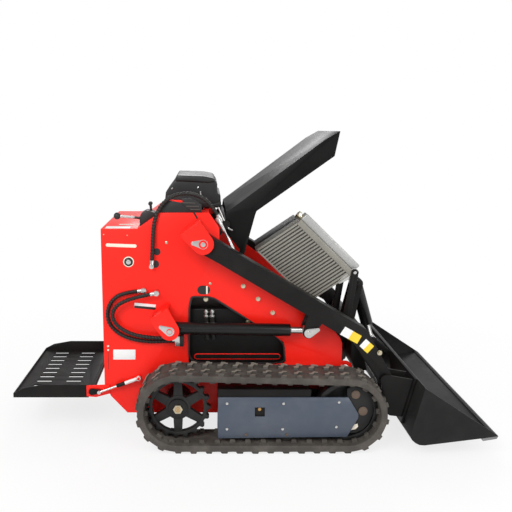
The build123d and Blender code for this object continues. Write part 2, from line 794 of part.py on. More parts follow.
# Stay that holds the hood open, pinned to the skirt and resting by its guide
stay_low = along(stay_pin, stay_guide, math.dist(stay_pin, stay_guide) + stay_tail)
stay_y = -hood_half_width + hood_sheet + stay_gap
stay = hull([(*stay_pin, stay_width / 2), (*stay_low, stay_width / 2)], stay_y, stay_y + stay_sheet)
stay -= pin(stay_pin, stay_pin_radius + fit, stay_y, stay_y + stay_sheet)
save("hood_stay", stay)
hood_cover += pin(stay_pin, stay_pin_radius, -hood_half_width - sheet, stay_y + stay_sheet + stay_pin_tail)
save("hood_shell", hood_cover)
save("hood_hinges", *hinge_pins, pin(stay_guide, stay_pin_radius, -body_inner, stay_y - stay_gap))


# Standing platform with slots, its hinge shaft and its strut
def platform():
    wide = platform_half_width
    low, high = platform_floor_z - platform_sheet, platform_floor_z
    deck = block(platform_tail_x, platform_front_x, -wide, wide, low, high)
    column_pitch = (platform_front_x - platform_tail_x) / platform_columns * platform_column_share
    row_pitch = 2 * (wide - platform_side_margin) / platform_slot_rows
    middle_x = (platform_front_x + platform_tail_x) / 2
    half_length, half_width = platform_slot_length / 2, platform_slot_width / 2
    for column in range(platform_columns):
        for row in range(platform_slot_rows):
            x = middle_x + (column - (platform_columns - 1) / 2) * column_pitch
            y = (row - (platform_slot_rows - 1) / 2) * row_pitch
            deck -= block(x - half_length, x + half_length, y - half_width, y + half_width, low, high)
    tail_run, tail_drop = platform_flange_tail
    flange = plate([
        (platform_tail_x, low - platform_lip),
        (platform_tail_x, high + platform_tail_rise),
        (platform_tail_x + tail_run, platform_flange_z - tail_drop),
        (platform_tail_x + platform_flange_run, platform_flange_z),
        (platform_front_x, platform_flange_z),
        (platform_front_x, low - platform_lip),
    ], -wide, -wide + platform_sheet)
    arm_face = -body_inner + platform_side_gap
    arm_foot_at = (platform_front_x - platform_arm_foot, low, platform_sheet)
    hinge_arm = hull([(*platform_hinge, platform_ear_radius), arm_foot_at], arm_face, arm_face + sheet)
    tail_high = high + platform_tail_rise
    tail = block(platform_tail_x, platform_tail_x + platform_sheet, -wide, wide, low, tail_high)
    shaft = pin(platform_hinge, platform_shaft_radius, -strut_inner_y, strut_inner_y)
    crank = hull([(*platform_hinge, platform_ear_radius), (*platform_crank, platform_crank_radius)],
                 -strut_inner_y - sheet, -strut_inner_y)
    return deck + flange + other_side(flange) + hinge_arm + other_side(hinge_arm) + tail + shaft + crank


save("platform_deck", platform())
hinge_face = -body_half_width - platform_plate
hinge_plate = plate(hinge_plate_points, hinge_face, -body_half_width)
hinge_plate -= pin(platform_hinge, platform_shaft_radius + fit, hinge_face, -body_half_width)
strut_y = -strut_inner_y - sheet - strut_gap_to_crank - strut_eye_half
strut_low, strut_high = strut_y - strut_eye_half, strut_y + strut_eye_half
strut_run = math.dist(platform_anchor, platform_crank)
strut_open = strut_run * (1 - strut_barrel_share)
strut_root = along(platform_anchor, platform_crank, strut_barrel_root)
strut_mouth = along(platform_anchor, platform_crank, strut_run - strut_open)
strut_barrel = bar(strut_root, strut_mouth, strut_barrel_radius, strut_y)
strut_barrel += pin(platform_anchor, strut_barrel_eye_radius, strut_low, strut_high)
strut_ends = (platform_anchor, platform_crank)
strut_bore = rod_bore(*strut_ends, strut_rod_radius, strut_open, strut_rod_start, strut_y)
strut_barrel -= strut_bore
strut_barrel -= pin(platform_anchor, strut_pin_radius + fit, strut_low, strut_high)
rod_back = along(platform_anchor, platform_crank, strut_rod_start + rod_clear)
rod_front = along(platform_anchor, platform_crank, strut_run - strut_rod_eye_radius / 2)
strut_rod = bar(rod_back, rod_front, strut_rod_radius, strut_y)
strut_rod += pin(platform_crank, strut_rod_eye_radius, strut_low, strut_high)
save("platform_strut_barrel", strut_barrel)
save("platform_strut_rod", strut_rod)
anchor = pin(platform_anchor, strut_pin_radius, strut_low - strut_pin_radius, -body_half_width)
anchor += pin(platform_anchor, strut_post_radius, strut_high + fit, -body_half_width)
save("platform_brackets", hinge_plate, other_side(hinge_plate), anchor)


# Hoses on the right side plate, each a tube along straight runs joined by arcs
def hose(name, points):
    runs = [math.dist(a, b) for a, b in zip(points, points[1:])]
    radii = []
    for before, here, after in zip(points, points[1:], points[2:]):
        turn = (Vector(*here) - Vector(*before)).get_angle(Vector(*after) - Vector(*here))
        shorter = min(math.dist(before, here), math.dist(here, after))
        radii.append(bend_share * shorter / math.tan(math.radians(turn / 2)))
    print(name, "runs", [round(run) for run in runs], "radii", [round(radius) for radius in radii])
    path = FilletPolyline(*points, radius=radii)
    ring = Plane(origin=points[0], z_dir=Vector(*points[1]) - Vector(*points[0])) * Circle(hose_radius)
    tube = sweep(ring, path=path)
    print(name, "volume over section and length", tube.volume / (math.pi * hose_radius ** 2 * path.length))
    save(name, tube)


def ferrule(start, after, length, radius):
    back = Vector(*start) - Vector(*after)
    middle = Vector(*start) + back.normalized() * (length / 2)
    return Plane(origin=middle, z_dir=back) * Cylinder(radius, length)


def beside(route):
    return [(x, -body_half_width - out, z) for x, out, z in route]


# Each route as distance forward, out from the side plate and up
over_top = beside([
    (-125, 17, 895), (-121, 17, 950), (-119, 16, 1008), (-114, 14, 1066), (-101, 11, 1122),
    (-70, 6, 1170), (-25, 0, 1203), (27, -4, 1215), (77, -5, 1211), (124, -6, 1190),
    (160, -6, 1155), (188, -6, 1112),
])
outer_loop = beside([
    (-197, 11, 741), (-250, 11, 734), (-300, 11, 716), (-334, 11, 678), (-348, 11, 629),
    (-340, 11, 580), (-307, 11, 539), (-258, 11, 509), (-200, 11, 493), (-137, 11, 486),
    (-74, 11, 490), (-16, 11, 490),
])
inner_loop = beside([
    (-134, 33, 731), (-190, 33, 719), (-245, 33, 703), (-296, 33, 678), (-322, 33, 634),
    (-308, 33, 585), (-265, 33, 550), (-210, 33, 527), (-152, 33, 516), (-90, 33, 512),
    (-30, 33, 512),
])
hose("hose_over_top", over_top)
hose("hose_outer_loop", outer_loop)
hose("hose_inner_loop", inner_loop)
fittings = []
posts = ((over_top, small_post_radius), (outer_loop, large_post_radius), (inner_loop, large_post_radius))
for route, post_radius in posts:
    sleeve = ferrule(route[0], route[1], ferrule_length, fitting_radius)
    back = (Vector(*route[0]) - Vector(*route[1])).normalized() * ferrule_length
    post = pin((route[0][0] + back.X, route[0][2] + back.Z), post_radius, route[0][1] - fitting_radius,
               -body_half_width)
    fittings.append(sleeve + post)
port_near = -body_half_width - port_depth
low_rear, low_front, low_foot, low_head = port_low
high_rear, high_front, high_foot, high_head = port_high
port = block(low_rear, low_front, port_near, -body_half_width, low_foot, low_head)
port += block(high_rear, high_front, port_near, -body_half_width - port_high_gap, high_foot, high_head)
fittings.append(port)
end_sleeve = ferrule(over_top[-1], over_top[-2], end_ferrule_length, fitting_radius)
end_run = (Vector(*over_top[-1]) - Vector(*over_top[-2])).normalized() * end_ferrule_length
pipe_y = -body_half_width + pipe_gap
pipe_start = Vector(over_top[-1][0] + end_run.X, pipe_y, over_top[-1][2] + end_run.Z)
pipe_line = Vector(pipe_foot[0], pipe_y, pipe_foot[1]) - pipe_start
pipe = Plane(origin=pipe_start + pipe_line * 0.5, z_dir=pipe_line) * Cylinder(pipe_radius, pipe_line.length)
foot_y = -body_half_width - pipe_foot_depth
foot_low, foot_high = pipe_foot[1] - pipe_foot_reach[0], pipe_foot[1] + pipe_foot_reach[1]
foot_rear, foot_front = pipe_foot[0] - pipe_foot_half, pipe_foot[0] + pipe_foot_half
foot = block(foot_rear, foot_front, foot_y, -body_half_width, foot_low, foot_high)
fittings.append(end_sleeve + pipe + foot)
save("hose_fittings", *fittings)
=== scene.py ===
import bpy
import bmesh
import json
import math
from mathutils import Matrix, Vector


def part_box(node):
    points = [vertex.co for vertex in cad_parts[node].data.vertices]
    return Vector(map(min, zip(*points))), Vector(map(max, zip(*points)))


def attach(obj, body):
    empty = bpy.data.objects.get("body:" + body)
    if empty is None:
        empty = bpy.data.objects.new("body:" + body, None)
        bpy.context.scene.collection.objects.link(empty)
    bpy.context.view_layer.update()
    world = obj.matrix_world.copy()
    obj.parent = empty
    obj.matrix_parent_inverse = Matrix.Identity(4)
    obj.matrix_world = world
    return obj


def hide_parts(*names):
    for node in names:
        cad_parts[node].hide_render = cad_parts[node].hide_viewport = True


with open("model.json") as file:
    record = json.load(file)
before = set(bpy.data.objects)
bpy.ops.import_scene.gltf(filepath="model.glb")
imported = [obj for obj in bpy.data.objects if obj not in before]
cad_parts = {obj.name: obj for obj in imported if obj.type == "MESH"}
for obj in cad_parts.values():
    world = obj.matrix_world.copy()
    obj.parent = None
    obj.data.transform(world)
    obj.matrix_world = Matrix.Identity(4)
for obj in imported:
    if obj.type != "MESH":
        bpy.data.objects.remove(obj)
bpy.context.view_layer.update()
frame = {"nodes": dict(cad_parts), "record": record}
scene = bpy.context.scene
print("frame loaded")

# places are written in millimetres from the drive axle, as on a workshop drawing
axleLow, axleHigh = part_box("sprocket_right")
axleX = (axleLow[0] + axleHigh[0]) / 2


def spot(x, y, z):
    return Vector((axleX + x / 1000, y / 1000, z / 1000))


# camera as solved from the photograph
cameraSettings = {"x": 129.0, "y": -3354.7, "z": 1517.1, "pitch": 9.5, "focal": 640.0, "centreU": 205.0,
                  "centreV": 235.6, "frame": 512.0, "sensor": 36.0}


def makeCamera(s):
    data = bpy.data.cameras.new("photoCamera")
    camera = bpy.data.objects.new("photoCamera", data)
    scene.collection.objects.link(camera)
    camera.location = spot(s["x"], s["y"], s["z"])
    camera.rotation_euler = (math.radians(90 - s["pitch"]), 0, 0)
    data.sensor_width = s["sensor"]
    data.lens = s["focal"] * s["sensor"] / s["frame"]
    data.shift_x = (s["frame"] / 2 - s["centreU"]) / s["frame"]
    data.shift_y = (s["centreV"] - s["frame"] / 2) / s["frame"]
    data.clip_end = 100
    scene.camera = camera


makeCamera(cameraSettings)
scene.view_settings.view_transform = "Standard"


# shader groups shared by many finishes
def newGroup(name, inputs, outputs):
    group = bpy.data.node_groups.new(name, "ShaderNodeTree")
    for label, kind, value in inputs:
        socket = group.interface.new_socket(name=label, in_out="INPUT", socket_type=kind)
        socket.default_value = value
    for label, kind in outputs:
        group.interface.new_socket(name=label, in_out="OUTPUT", socket_type=kind)
    source = group.nodes.new("NodeGroupInput")
    sink = group.nodes.new("NodeGroupOutput")
    return group, source, sink


def addNode(tree, kind, **values):
    node = tree.nodes.new(kind)
    for key, value in values.items():
        if hasattr(node, key):
            setattr(node, key, value)
        else:
            node.inputs[key.replace("_", " ")].default_value = value
    return node


def grimeGroup():
    # broad stains, fine grain and a roughness that follows both
    group, source, sink = newGroup("grimeAndGrain", [
        ("Base", "NodeSocketColor", (0.5, 0.5, 0.5, 1)), ("Grime", "NodeSocketColor", (0.2, 0.2, 0.2, 1)),
        ("Amount", "NodeSocketFloat", 0.3), ("Stain Scale", "NodeSocketFloat", 4.0),
        ("Grain Scale", "NodeSocketFloat", 300.0), ("Smooth", "NodeSocketFloat", 0.3),
        ("Rough", "NodeSocketFloat", 0.5)],
        [("Color", "NodeSocketColor"), ("Roughness", "NodeSocketFloat"), ("Height", "NodeSocketFloat")])
    link = group.links.new
    place = addNode(group, "ShaderNodeTexCoord")
    stain = addNode(group, "ShaderNodeTexNoise", Detail=6.0, Roughness=0.62)
    grain = addNode(group, "ShaderNodeTexNoise", Detail=3.0, Roughness=0.55)
    link(place.outputs["Object"], stain.inputs["Vector"])
    link(place.outputs["Object"], grain.inputs["Vector"])
    link(source.outputs["Stain Scale"], stain.inputs["Scale"])
    link(source.outputs["Grain Scale"], grain.inputs["Scale"])
    shape = addNode(group, "ShaderNodeMapRange", From_Min=0.42, From_Max=0.72)
    link(stain.outputs["Fac"], shape.inputs["Value"])
    speck = addNode(group, "ShaderNodeMapRange", From_Min=0.3, From_Max=0.7, To_Min=0.55, To_Max=1.0)
    link(grain.outputs["Fac"], speck.inputs["Value"])
    mask = addNode(group, "ShaderNodeMath", operation="MULTIPLY")
    link(shape.outputs["Result"], mask.inputs[0])
    link(speck.outputs["Result"], mask.inputs[1])
    weight = addNode(group, "ShaderNodeMath", operation="MULTIPLY")
    link(mask.outputs[0], weight.inputs[0])
    link(source.outputs["Amount"], weight.inputs[1])
    mix = addNode(group, "ShaderNodeMix", data_type="RGBA")
    link(weight.outputs[0], mix.inputs[0])
    link(source.outputs["Base"], mix.inputs[6])
    link(source.outputs["Grime"], mix.inputs[7])
    link(mix.outputs[2], sink.inputs["Color"])
    rough = addNode(group, "ShaderNodeMapRange")
    link(mask.outputs[0], rough.inputs["Value"])
    link(source.outputs["Smooth"], rough.inputs["To Min"])
    link(source.outputs["Rough"], rough.inputs["To Max"])
    link(rough.outputs["Result"], sink.inputs["Roughness"])
    link(grain.outputs["Fac"], sink.inputs["Height"])
    return group


grime = grimeGroup()


def finish(name, base, dirt, amount, smooth, rough, grain=300.0, stain=4.0, bump=0.1, bumpDepth=0.0004, **shader):
    material = bpy.data.materials.new(name)
    material.use_nodes = True
    tree = material.node_tree
    surface = tree.nodes["Principled BSDF"]
    worn = tree.nodes.new("ShaderNodeGroup")
    worn.node_tree = grime
    worn.inputs["Base"].default_value = (*base, 1)
    worn.inputs["Grime"].default_value = (*dirt, 1)
    for label, value in (("Amount", amount), ("Smooth", smooth), ("Rough", rough), ("Grain Scale", grain),
                         ("Stain Scale", stain)):
        worn.inputs[label].default_value = value
    tree.links.new(worn.outputs["Color"], surface.inputs["Base Color"])
    tree.links.new(worn.outputs["Roughness"], surface.inputs["Roughness"])
    relief = addNode(tree, "ShaderNodeBump", Strength=bump, Distance=bumpDepth)
    tree.links.new(worn.outputs["Height"], relief.inputs["Height"])
    tree.links.new(relief.outputs["Normal"], surface.inputs["Normal"])
    for label, value in shader.items():
        surface.inputs[label.replace("_", " ")].default_value = value
    return material


redPaint = finish("redPaint", (0.92, 0.016, 0.008), (0.66, 0.010, 0.007), 0.22, 0.34, 0.46, grain=420, stain=2.2,
                  bump=0.05, Coat_Weight=0.08, Coat_Roughness=0.2, Specular_IOR_Level=0.22)
blackPaint = finish("blackPaint", (0.0085, 0.0078, 0.0075), (0.026, 0.024, 0.022), 0.35, 0.36, 0.56, grain=380,
                    stain=5, bump=0.10, Specular_IOR_Level=0.15)
glossBlack = finish("glossBlack", (0.006, 0.0055, 0.0055), (0.02, 0.019, 0.018), 0.3, 0.24, 0.40, grain=420,
                    stain=3, bump=0.05, Specular_IOR_Level=0.3)
hoodPaint = finish("hoodPaint", (0.006, 0.0058, 0.0057), (0.02, 0.019, 0.018), 0.3, 0.34, 0.50, grain=420,
                   stain=3, bump=0.05, Specular_IOR_Level=0.08)
bucketPaint = finish("bucketPaint", (0.014, 0.0145, 0.014), (0.038, 0.037, 0.036), 0.40, 0.40, 0.62, grain=260,
                     stain=6, bump=0.16, Specular_IOR_Level=0.12)
wornSteel = finish("wornSteel", (0.30, 0.30, 0.31), (0.10, 0.085, 0.07), 0.55, 0.32, 0.60, grain=500, stain=9,
                   bump=0.2, Metallic=0.9)
coverPaint = finish("coverPaint", (0.052, 0.068, 0.098), (0.12, 0.125, 0.135), 0.45, 0.36, 0.55, grain=300,
                    stain=7, bump=0.14, Coat_Weight=0.1)
trackRubber = finish("trackRubber", (0.050, 0.043, 0.037), (0.17, 0.15, 0.125), 0.55, 0.66, 0.90, grain=210,
                     stain=14, bump=0.5, bumpDepth=0.001)
lugRubber = finish("lugRubber", (0.25, 0.222, 0.185), (0.12, 0.105, 0.088), 0.6, 0.62, 0.90, grain=190,
                   stain=18, bump=0.55, bumpDepth=0.001)
castBlack = finish("castBlack", (0.012, 0.012, 0.012), (0.04, 0.038, 0.035), 0.5, 0.42, 0.68, grain=240, stain=11,
                   bump=0.3, bumpDepth=0.0006, Specular_IOR_Level=0.3)
brightSteel = finish("brightSteel", (0.62, 0.62, 0.61), (0.38, 0.36, 0.33), 0.5, 0.22, 0.42, grain=600, stain=12,
                     bump=0.08, Metallic=1.0)
zincPlate = finish("zincPlate", (0.62, 0.56, 0.42), (0.40, 0.33, 0.20), 0.6, 0.26, 0.46, grain=500, stain=16,
                   bump=0.1, Metallic=1.0)
brassMetal = finish("brassMetal", (0.55, 0.32, 0.12), (0.25, 0.14, 0.06), 0.6, 0.28, 0.5, grain=400, stain=14,
                    bump=0.1, Metallic=1.0)
coolerMetal = finish("coolerMetal", (0.27, 0.26, 0.225), (0.17, 0.163, 0.14), 0.45, 0.36, 0.55, grain=420,
                     stain=8, bump=0.12, Metallic=0.35)
tankMetal = finish("tankMetal", (0.42, 0.42, 0.41), (0.30, 0.30, 0.29), 0.4, 0.32, 0.5, grain=420, stain=6,
                   bump=0.08, Metallic=0.3)
# dark colour of the cooler fins: painted shade of their deep, shadowed gaps
finShade = finish("finShade", (0.055, 0.050, 0.043), (0.12, 0.11, 0.095), 0.6, 0.5, 0.75, grain=900, stain=30,
                 bump=0.5, bumpDepth=0.001, Metallic=0.3)
whiteBar = finish("whiteBar", (0.78, 0.77, 0.75), (0.55, 0.53, 0.50), 0.35, 0.3, 0.5, grain=300, stain=9)
blackPlastic = finish("blackPlastic", (0.010, 0.0095, 0.0095), (0.03, 0.029, 0.028), 0.4, 0.42, 0.62, grain=340,
                      stain=9, bump=0.25, bumpDepth=0.0005)
hoseRubber = finish("hoseRubber", (0.010, 0.009, 0.008), (0.035, 0.031, 0.028), 0.4, 0.40, 0.6, grain=500,
                    stain=12, bump=0.2, Specular_IOR_Level=0.35)
engineGrey = finish("engineGrey", (0.05, 0.05, 0.052), (0.12, 0.11, 0.10), 0.5, 0.45, 0.7, grain=200, stain=8,
                    bump=0.4)
creamPlate = finish("creamPlate", (0.80, 0.72, 0.60), (0.55, 0.47, 0.38), 0.3, 0.35, 0.5, grain=300, stain=12)
nubRubber = finish("nubRubber", (0.16, 0.142, 0.118), (0.08, 0.07, 0.06), 0.6, 0.6, 0.9, grain=220, stain=20,
                   bump=0.4)
copperPin = finish("copperPin", (0.115, 0.078, 0.056), (0.20, 0.15, 0.11), 0.5, 0.42, 0.65, grain=260, stain=16,
                   bump=0.25, Metallic=0.3)
softBlack = finish("softBlack", (0.0055, 0.0052, 0.0052), (0.022, 0.020, 0.019), 0.35, 0.42, 0.62, grain=300,
                   stain=7, bump=0.15)
ventGrey = finish("ventGrey", (0.05, 0.046, 0.04), (0.10, 0.09, 0.08), 0.4, 0.4, 0.6)
whiteLabel = finish("whiteLabel", (0.80, 0.80, 0.79), (0.62, 0.61, 0.58), 0.25, 0.30, 0.45, grain=300, stain=10)
yellowLabel = finish("yellowLabel", (0.86, 0.60, 0.03), (0.60, 0.40, 0.05), 0.25, 0.30, 0.45, grain=300, stain=10)
print("finishes made")


# light, floor and backdrop
def whiteForLens(tree, shaderOut, s):
    # the lens, mirrors and glass see plain white, and far from the machine nothing else
    where = addNode(tree, "ShaderNodeTexCoord")
    far = addNode(tree, "ShaderNodeVectorMath", operation="LENGTH")
    tree.links.new(where.outputs["Object"], far.inputs[0])
    fade = addNode(tree, "ShaderNodeMapRange", From_Min=s["fadeStart"], From_Max=s["fadeEnd"],
                   To_Min=s["lensShare"], To_Max=1.0)
    tree.links.new(far.outputs["Value"], fade.inputs["Value"])
    path = addNode(tree, "ShaderNodeLightPath")
    seen = addNode(tree, "ShaderNodeMath", operation="MAXIMUM")
    through = addNode(tree, "ShaderNodeMath", operation="MAXIMUM")
    share = addNode(tree, "ShaderNodeMath", operation="MULTIPLY")
    tree.links.new(fade.outputs["Result"], share.inputs[1])
    tree.links.new(path.outputs["Is Camera Ray"], seen.inputs[0])
    tree.links.new(path.outputs["Is Glossy Ray"], seen.inputs[1])
    tree.links.new(seen.outputs[0], through.inputs[0])
    tree.links.new(path.outputs["Is Transmission Ray"], through.inputs[1])
    tree.links.new(through.outputs[0], share.inputs[0])
    glow = addNode(tree, "ShaderNodeEmission", Strength=1.0)
    blend = addNode(tree, "ShaderNodeMixShader")
    tree.links.new(share.outputs[0], blend.inputs[0])
    tree.links.new(shaderOut, blend.inputs[1])
    tree.links.new(glow.outputs[0], blend.inputs[2])
    return blend


def makeStage(s):
    size = s["floorSize"]
    mesh = bpy.data.meshes.new("studioFloor")
    mesh.from_pydata([(-size, -size, 0), (size, -size, 0), (size, size, 0), (-size, size, 0)], [], [(0, 1, 2, 3)])
    floor = bpy.data.objects.new("studioFloor", mesh)
    scene.collection.objects.link(floor)
    pale = bpy.data.materials.new("studioFloor")
    pale.use_nodes = True
    tree = pale.node_tree
    surface = tree.nodes["Principled BSDF"]
    surface.inputs["Base Color"].default_value = (*s["floorColor"], 1)
    surface.inputs["Roughness"].default_value = s["floorRoughness"]
    blend = whiteForLens(tree, surface.outputs[0], s)
    tree.links.new(blend.outputs[0], tree.nodes["Material Output"].inputs[0])
    mesh.materials.append(pale)
    world = bpy.data.worlds.new("studioWorld")
    scene.world = world
    world.use_nodes = True
    tree = world.node_tree
    sky = tree.nodes["Background"]
    sky.inputs["Color"].default_value = (1, 1, 1, 1)
    sky.inputs["Strength"].default_value = s["skyStrength"]
    lens = addNode(tree, "ShaderNodeLightPath")
    white = addNode(tree, "ShaderNodeBackground")
    white.inputs["Color"].default_value = (1, 1, 1, 1)
    seen = addNode(tree, "ShaderNodeMath", operation="MAXIMUM")
    mixed = addNode(tree, "ShaderNodeMixShader")
    tree.links.new(lens.outputs["Is Camera Ray"], seen.inputs[0])
    tree.links.new(lens.outputs["Is Transmission Ray"], seen.inputs[1])
    tree.links.new(seen.outputs[0], mixed.inputs[0])
    tree.links.new(sky.outputs[0], mixed.inputs[1])
    tree.links.new(white.outputs[0], mixed.inputs[2])
    tree.links.new(mixed.outputs[0], tree.nodes["World Output"].inputs[0])
    for name, place, aim, wide, power in s["lamps"]:
        data = bpy.data.lights.new(name, "AREA")
        data.shape = "RECTANGLE"
        data.size, data.size_y = wide
        data.energy = power
        lamp = bpy.data.objects.new(name, data)
        scene.collection.objects.link(lamp)
        lamp.location = place
        lamp.rotation_euler = (Vector(aim) - Vector(place)).to_track_quat("-Z", "Y").to_euler()


# fadeStart and fadeEnd are metres from the machine, lensShare is how white the floor looks under it
makeStage({"floorSize": 30.0, "floorColor": (0.82, 0.82, 0.82), "floorRoughness": 0.9, "skyStrength": 0.62,
           "lensShare": 0.78, "fadeStart": 1.1, "fadeEnd": 2.6,
           "lamps": [("keyLamp", (-2.5, -4.0, 4.2), (0, 0, 0.6), (2.6, 2.6), 190),
                     ("fillLamp", (3.5, -3.2, 2.2), (0.2, 0, 0.5), (2.5, 2.5), 75),
                     ("backLamp", (0.5, 4.0, 3.6), (0, 0, 0.7), (3.0, 2.0), 90)]})
print("stage made")


# helpers for pieces; millimetres and degrees
bothSides = ((-1, "Right"), (1, "Left"))
easing = {"mergeWithin": 0.02, "flatWithin": 1, "nodeSmooth": 32, "pieceBevel": 40, "pieceSmooth": 35}
crossStart = Vector((0.13, 1, 0.21))  # first guess of a tube's sideways direction


def onSide(side, a, b):
    return sorted((side * a, side * b))


def place(name, mesh, body, material=None):
    thing = bpy.data.objects.new(name, mesh)
    scene.collection.objects.link(thing)
    if material:
        mesh.materials.clear()
        mesh.materials.append(material)
    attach(thing, body)
    return thing


def bodyOf(node):
    for body, names in frame["record"]["behaviour"]["bodies"].items():
        if node in names:
            return body


def soften(node, material, width=2.0, segments=2, angle=25):
    # a copy of the node's own faces with its sharp edges eased
    source = frame["nodes"][node]
    mesh = source.data.copy()
    work = bmesh.new()
    work.from_mesh(mesh)
    bmesh.ops.remove_doubles(work, verts=work.verts, dist=easing["mergeWithin"] / 1000)
    flat = math.radians(easing["flatWithin"])
    bmesh.ops.dissolve_limit(work, angle_limit=flat, verts=work.verts, edges=work.edges)
    work.to_mesh(mesh)
    work.free()
    rough = bpy.data.objects.new(node + "_rough", mesh)
    scene.collection.objects.link(rough)
    bevel = rough.modifiers.new("easedEdges", "BEVEL")
    bevel.width = width / 1000
    bevel.segments = segments
    bevel.limit_method = "ANGLE"
    bevel.angle_limit = math.radians(angle)
    shape = bpy.data.meshes.new_from_object(rough.evaluated_get(bpy.context.evaluated_depsgraph_get()))
    bpy.data.objects.remove(rough)
    for face in shape.polygons:
        face.use_smooth = True
    shape.set_sharp_from_angle(angle=math.radians(easing["nodeSmooth"]))
    piece = place(node + "_skin", shape, bodyOf(node), material)
    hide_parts(node)
    return piece


nodeFinish = {
    "side_plate_right": (redPaint, 1.5), "side_plate_left": (redPaint, 1.5), "rear_panel": (redPaint, 1.5),
    "console_top": (redPaint, 1.5), "top_deck": (redPaint, 1.5), "front_plate": (redPaint, 1.5),
    "arm_bracket_right": (redPaint, 2), "arm_bracket_left": (redPaint, 2), "lift_bracket_right": (redPaint, 2),
    "lift_bracket_left": (redPaint, 2), "platform_brackets": (redPaint, 1.2), "arm_right": (blackPaint, 4),
    "arm_left": (blackPaint, 4), "arm_cross_tube": (blackPaint, 1.5), "tilt_tower": (blackPaint, 2.5),
    "lift_barrel_right": (glossBlack, 1.2), "lift_barrel_left": (glossBlack, 1.2), "tilt_barrel": (glossBlack, 1.2),
    "lift_rod_right": (brightSteel, 1), "lift_rod_left": (brightSteel, 1), "tilt_rod": (brightSteel, 1),
    "belly_plate": (blackPaint, 1.5), "track_frame_right": (blackPaint, 2.5), "track_frame_left": (blackPaint, 2.5),
    "hood_shell": (hoodPaint, 1.2), "hood_stay": (blackPaint, 1), "hood_hinges": (blackPaint, 1.2),
    "oil_tank": (blackPaint, 6), "cooler_bracket": (blackPaint, 1.5), "platform_deck": (blackPaint, 1.2),
    "quick_attach_plate": (blackPaint, 2), "engine_rails": (blackPaint, 3), "bucket_shell": (bucketPaint, 1.8),
    "cutting_edge": (wornSteel, 1.5), "track_cover_right": (coverPaint, 2), "track_cover_left": (coverPaint, 2),
    "idler_right": (castBlack, 2), "idler_left": (castBlack, 2), "rollers_right": (castBlack, 2),
    "rollers_left": (castBlack, 2),
    "hose_fittings": (brightSteel, 1), "cooler_ears": (brightSteel, 0.8), "platform_strut_barrel": (whiteBar, 1),
    "platform_strut_rod": (brightSteel, 0.8), "engine_block": (engineGrey, 8), "air_cleaner": (blackPlastic, 6),
    "fan_shroud": (blackPlastic, 4), "control_levers": (blackPlastic, 1), "cooler_core": (coolerMetal, 1.5),
    "cooler_tank": (tankMetal, 6),
}
for node, (material, width) in nodeFinish.items():
    soften(node, material, width)
print("painted parts eased")


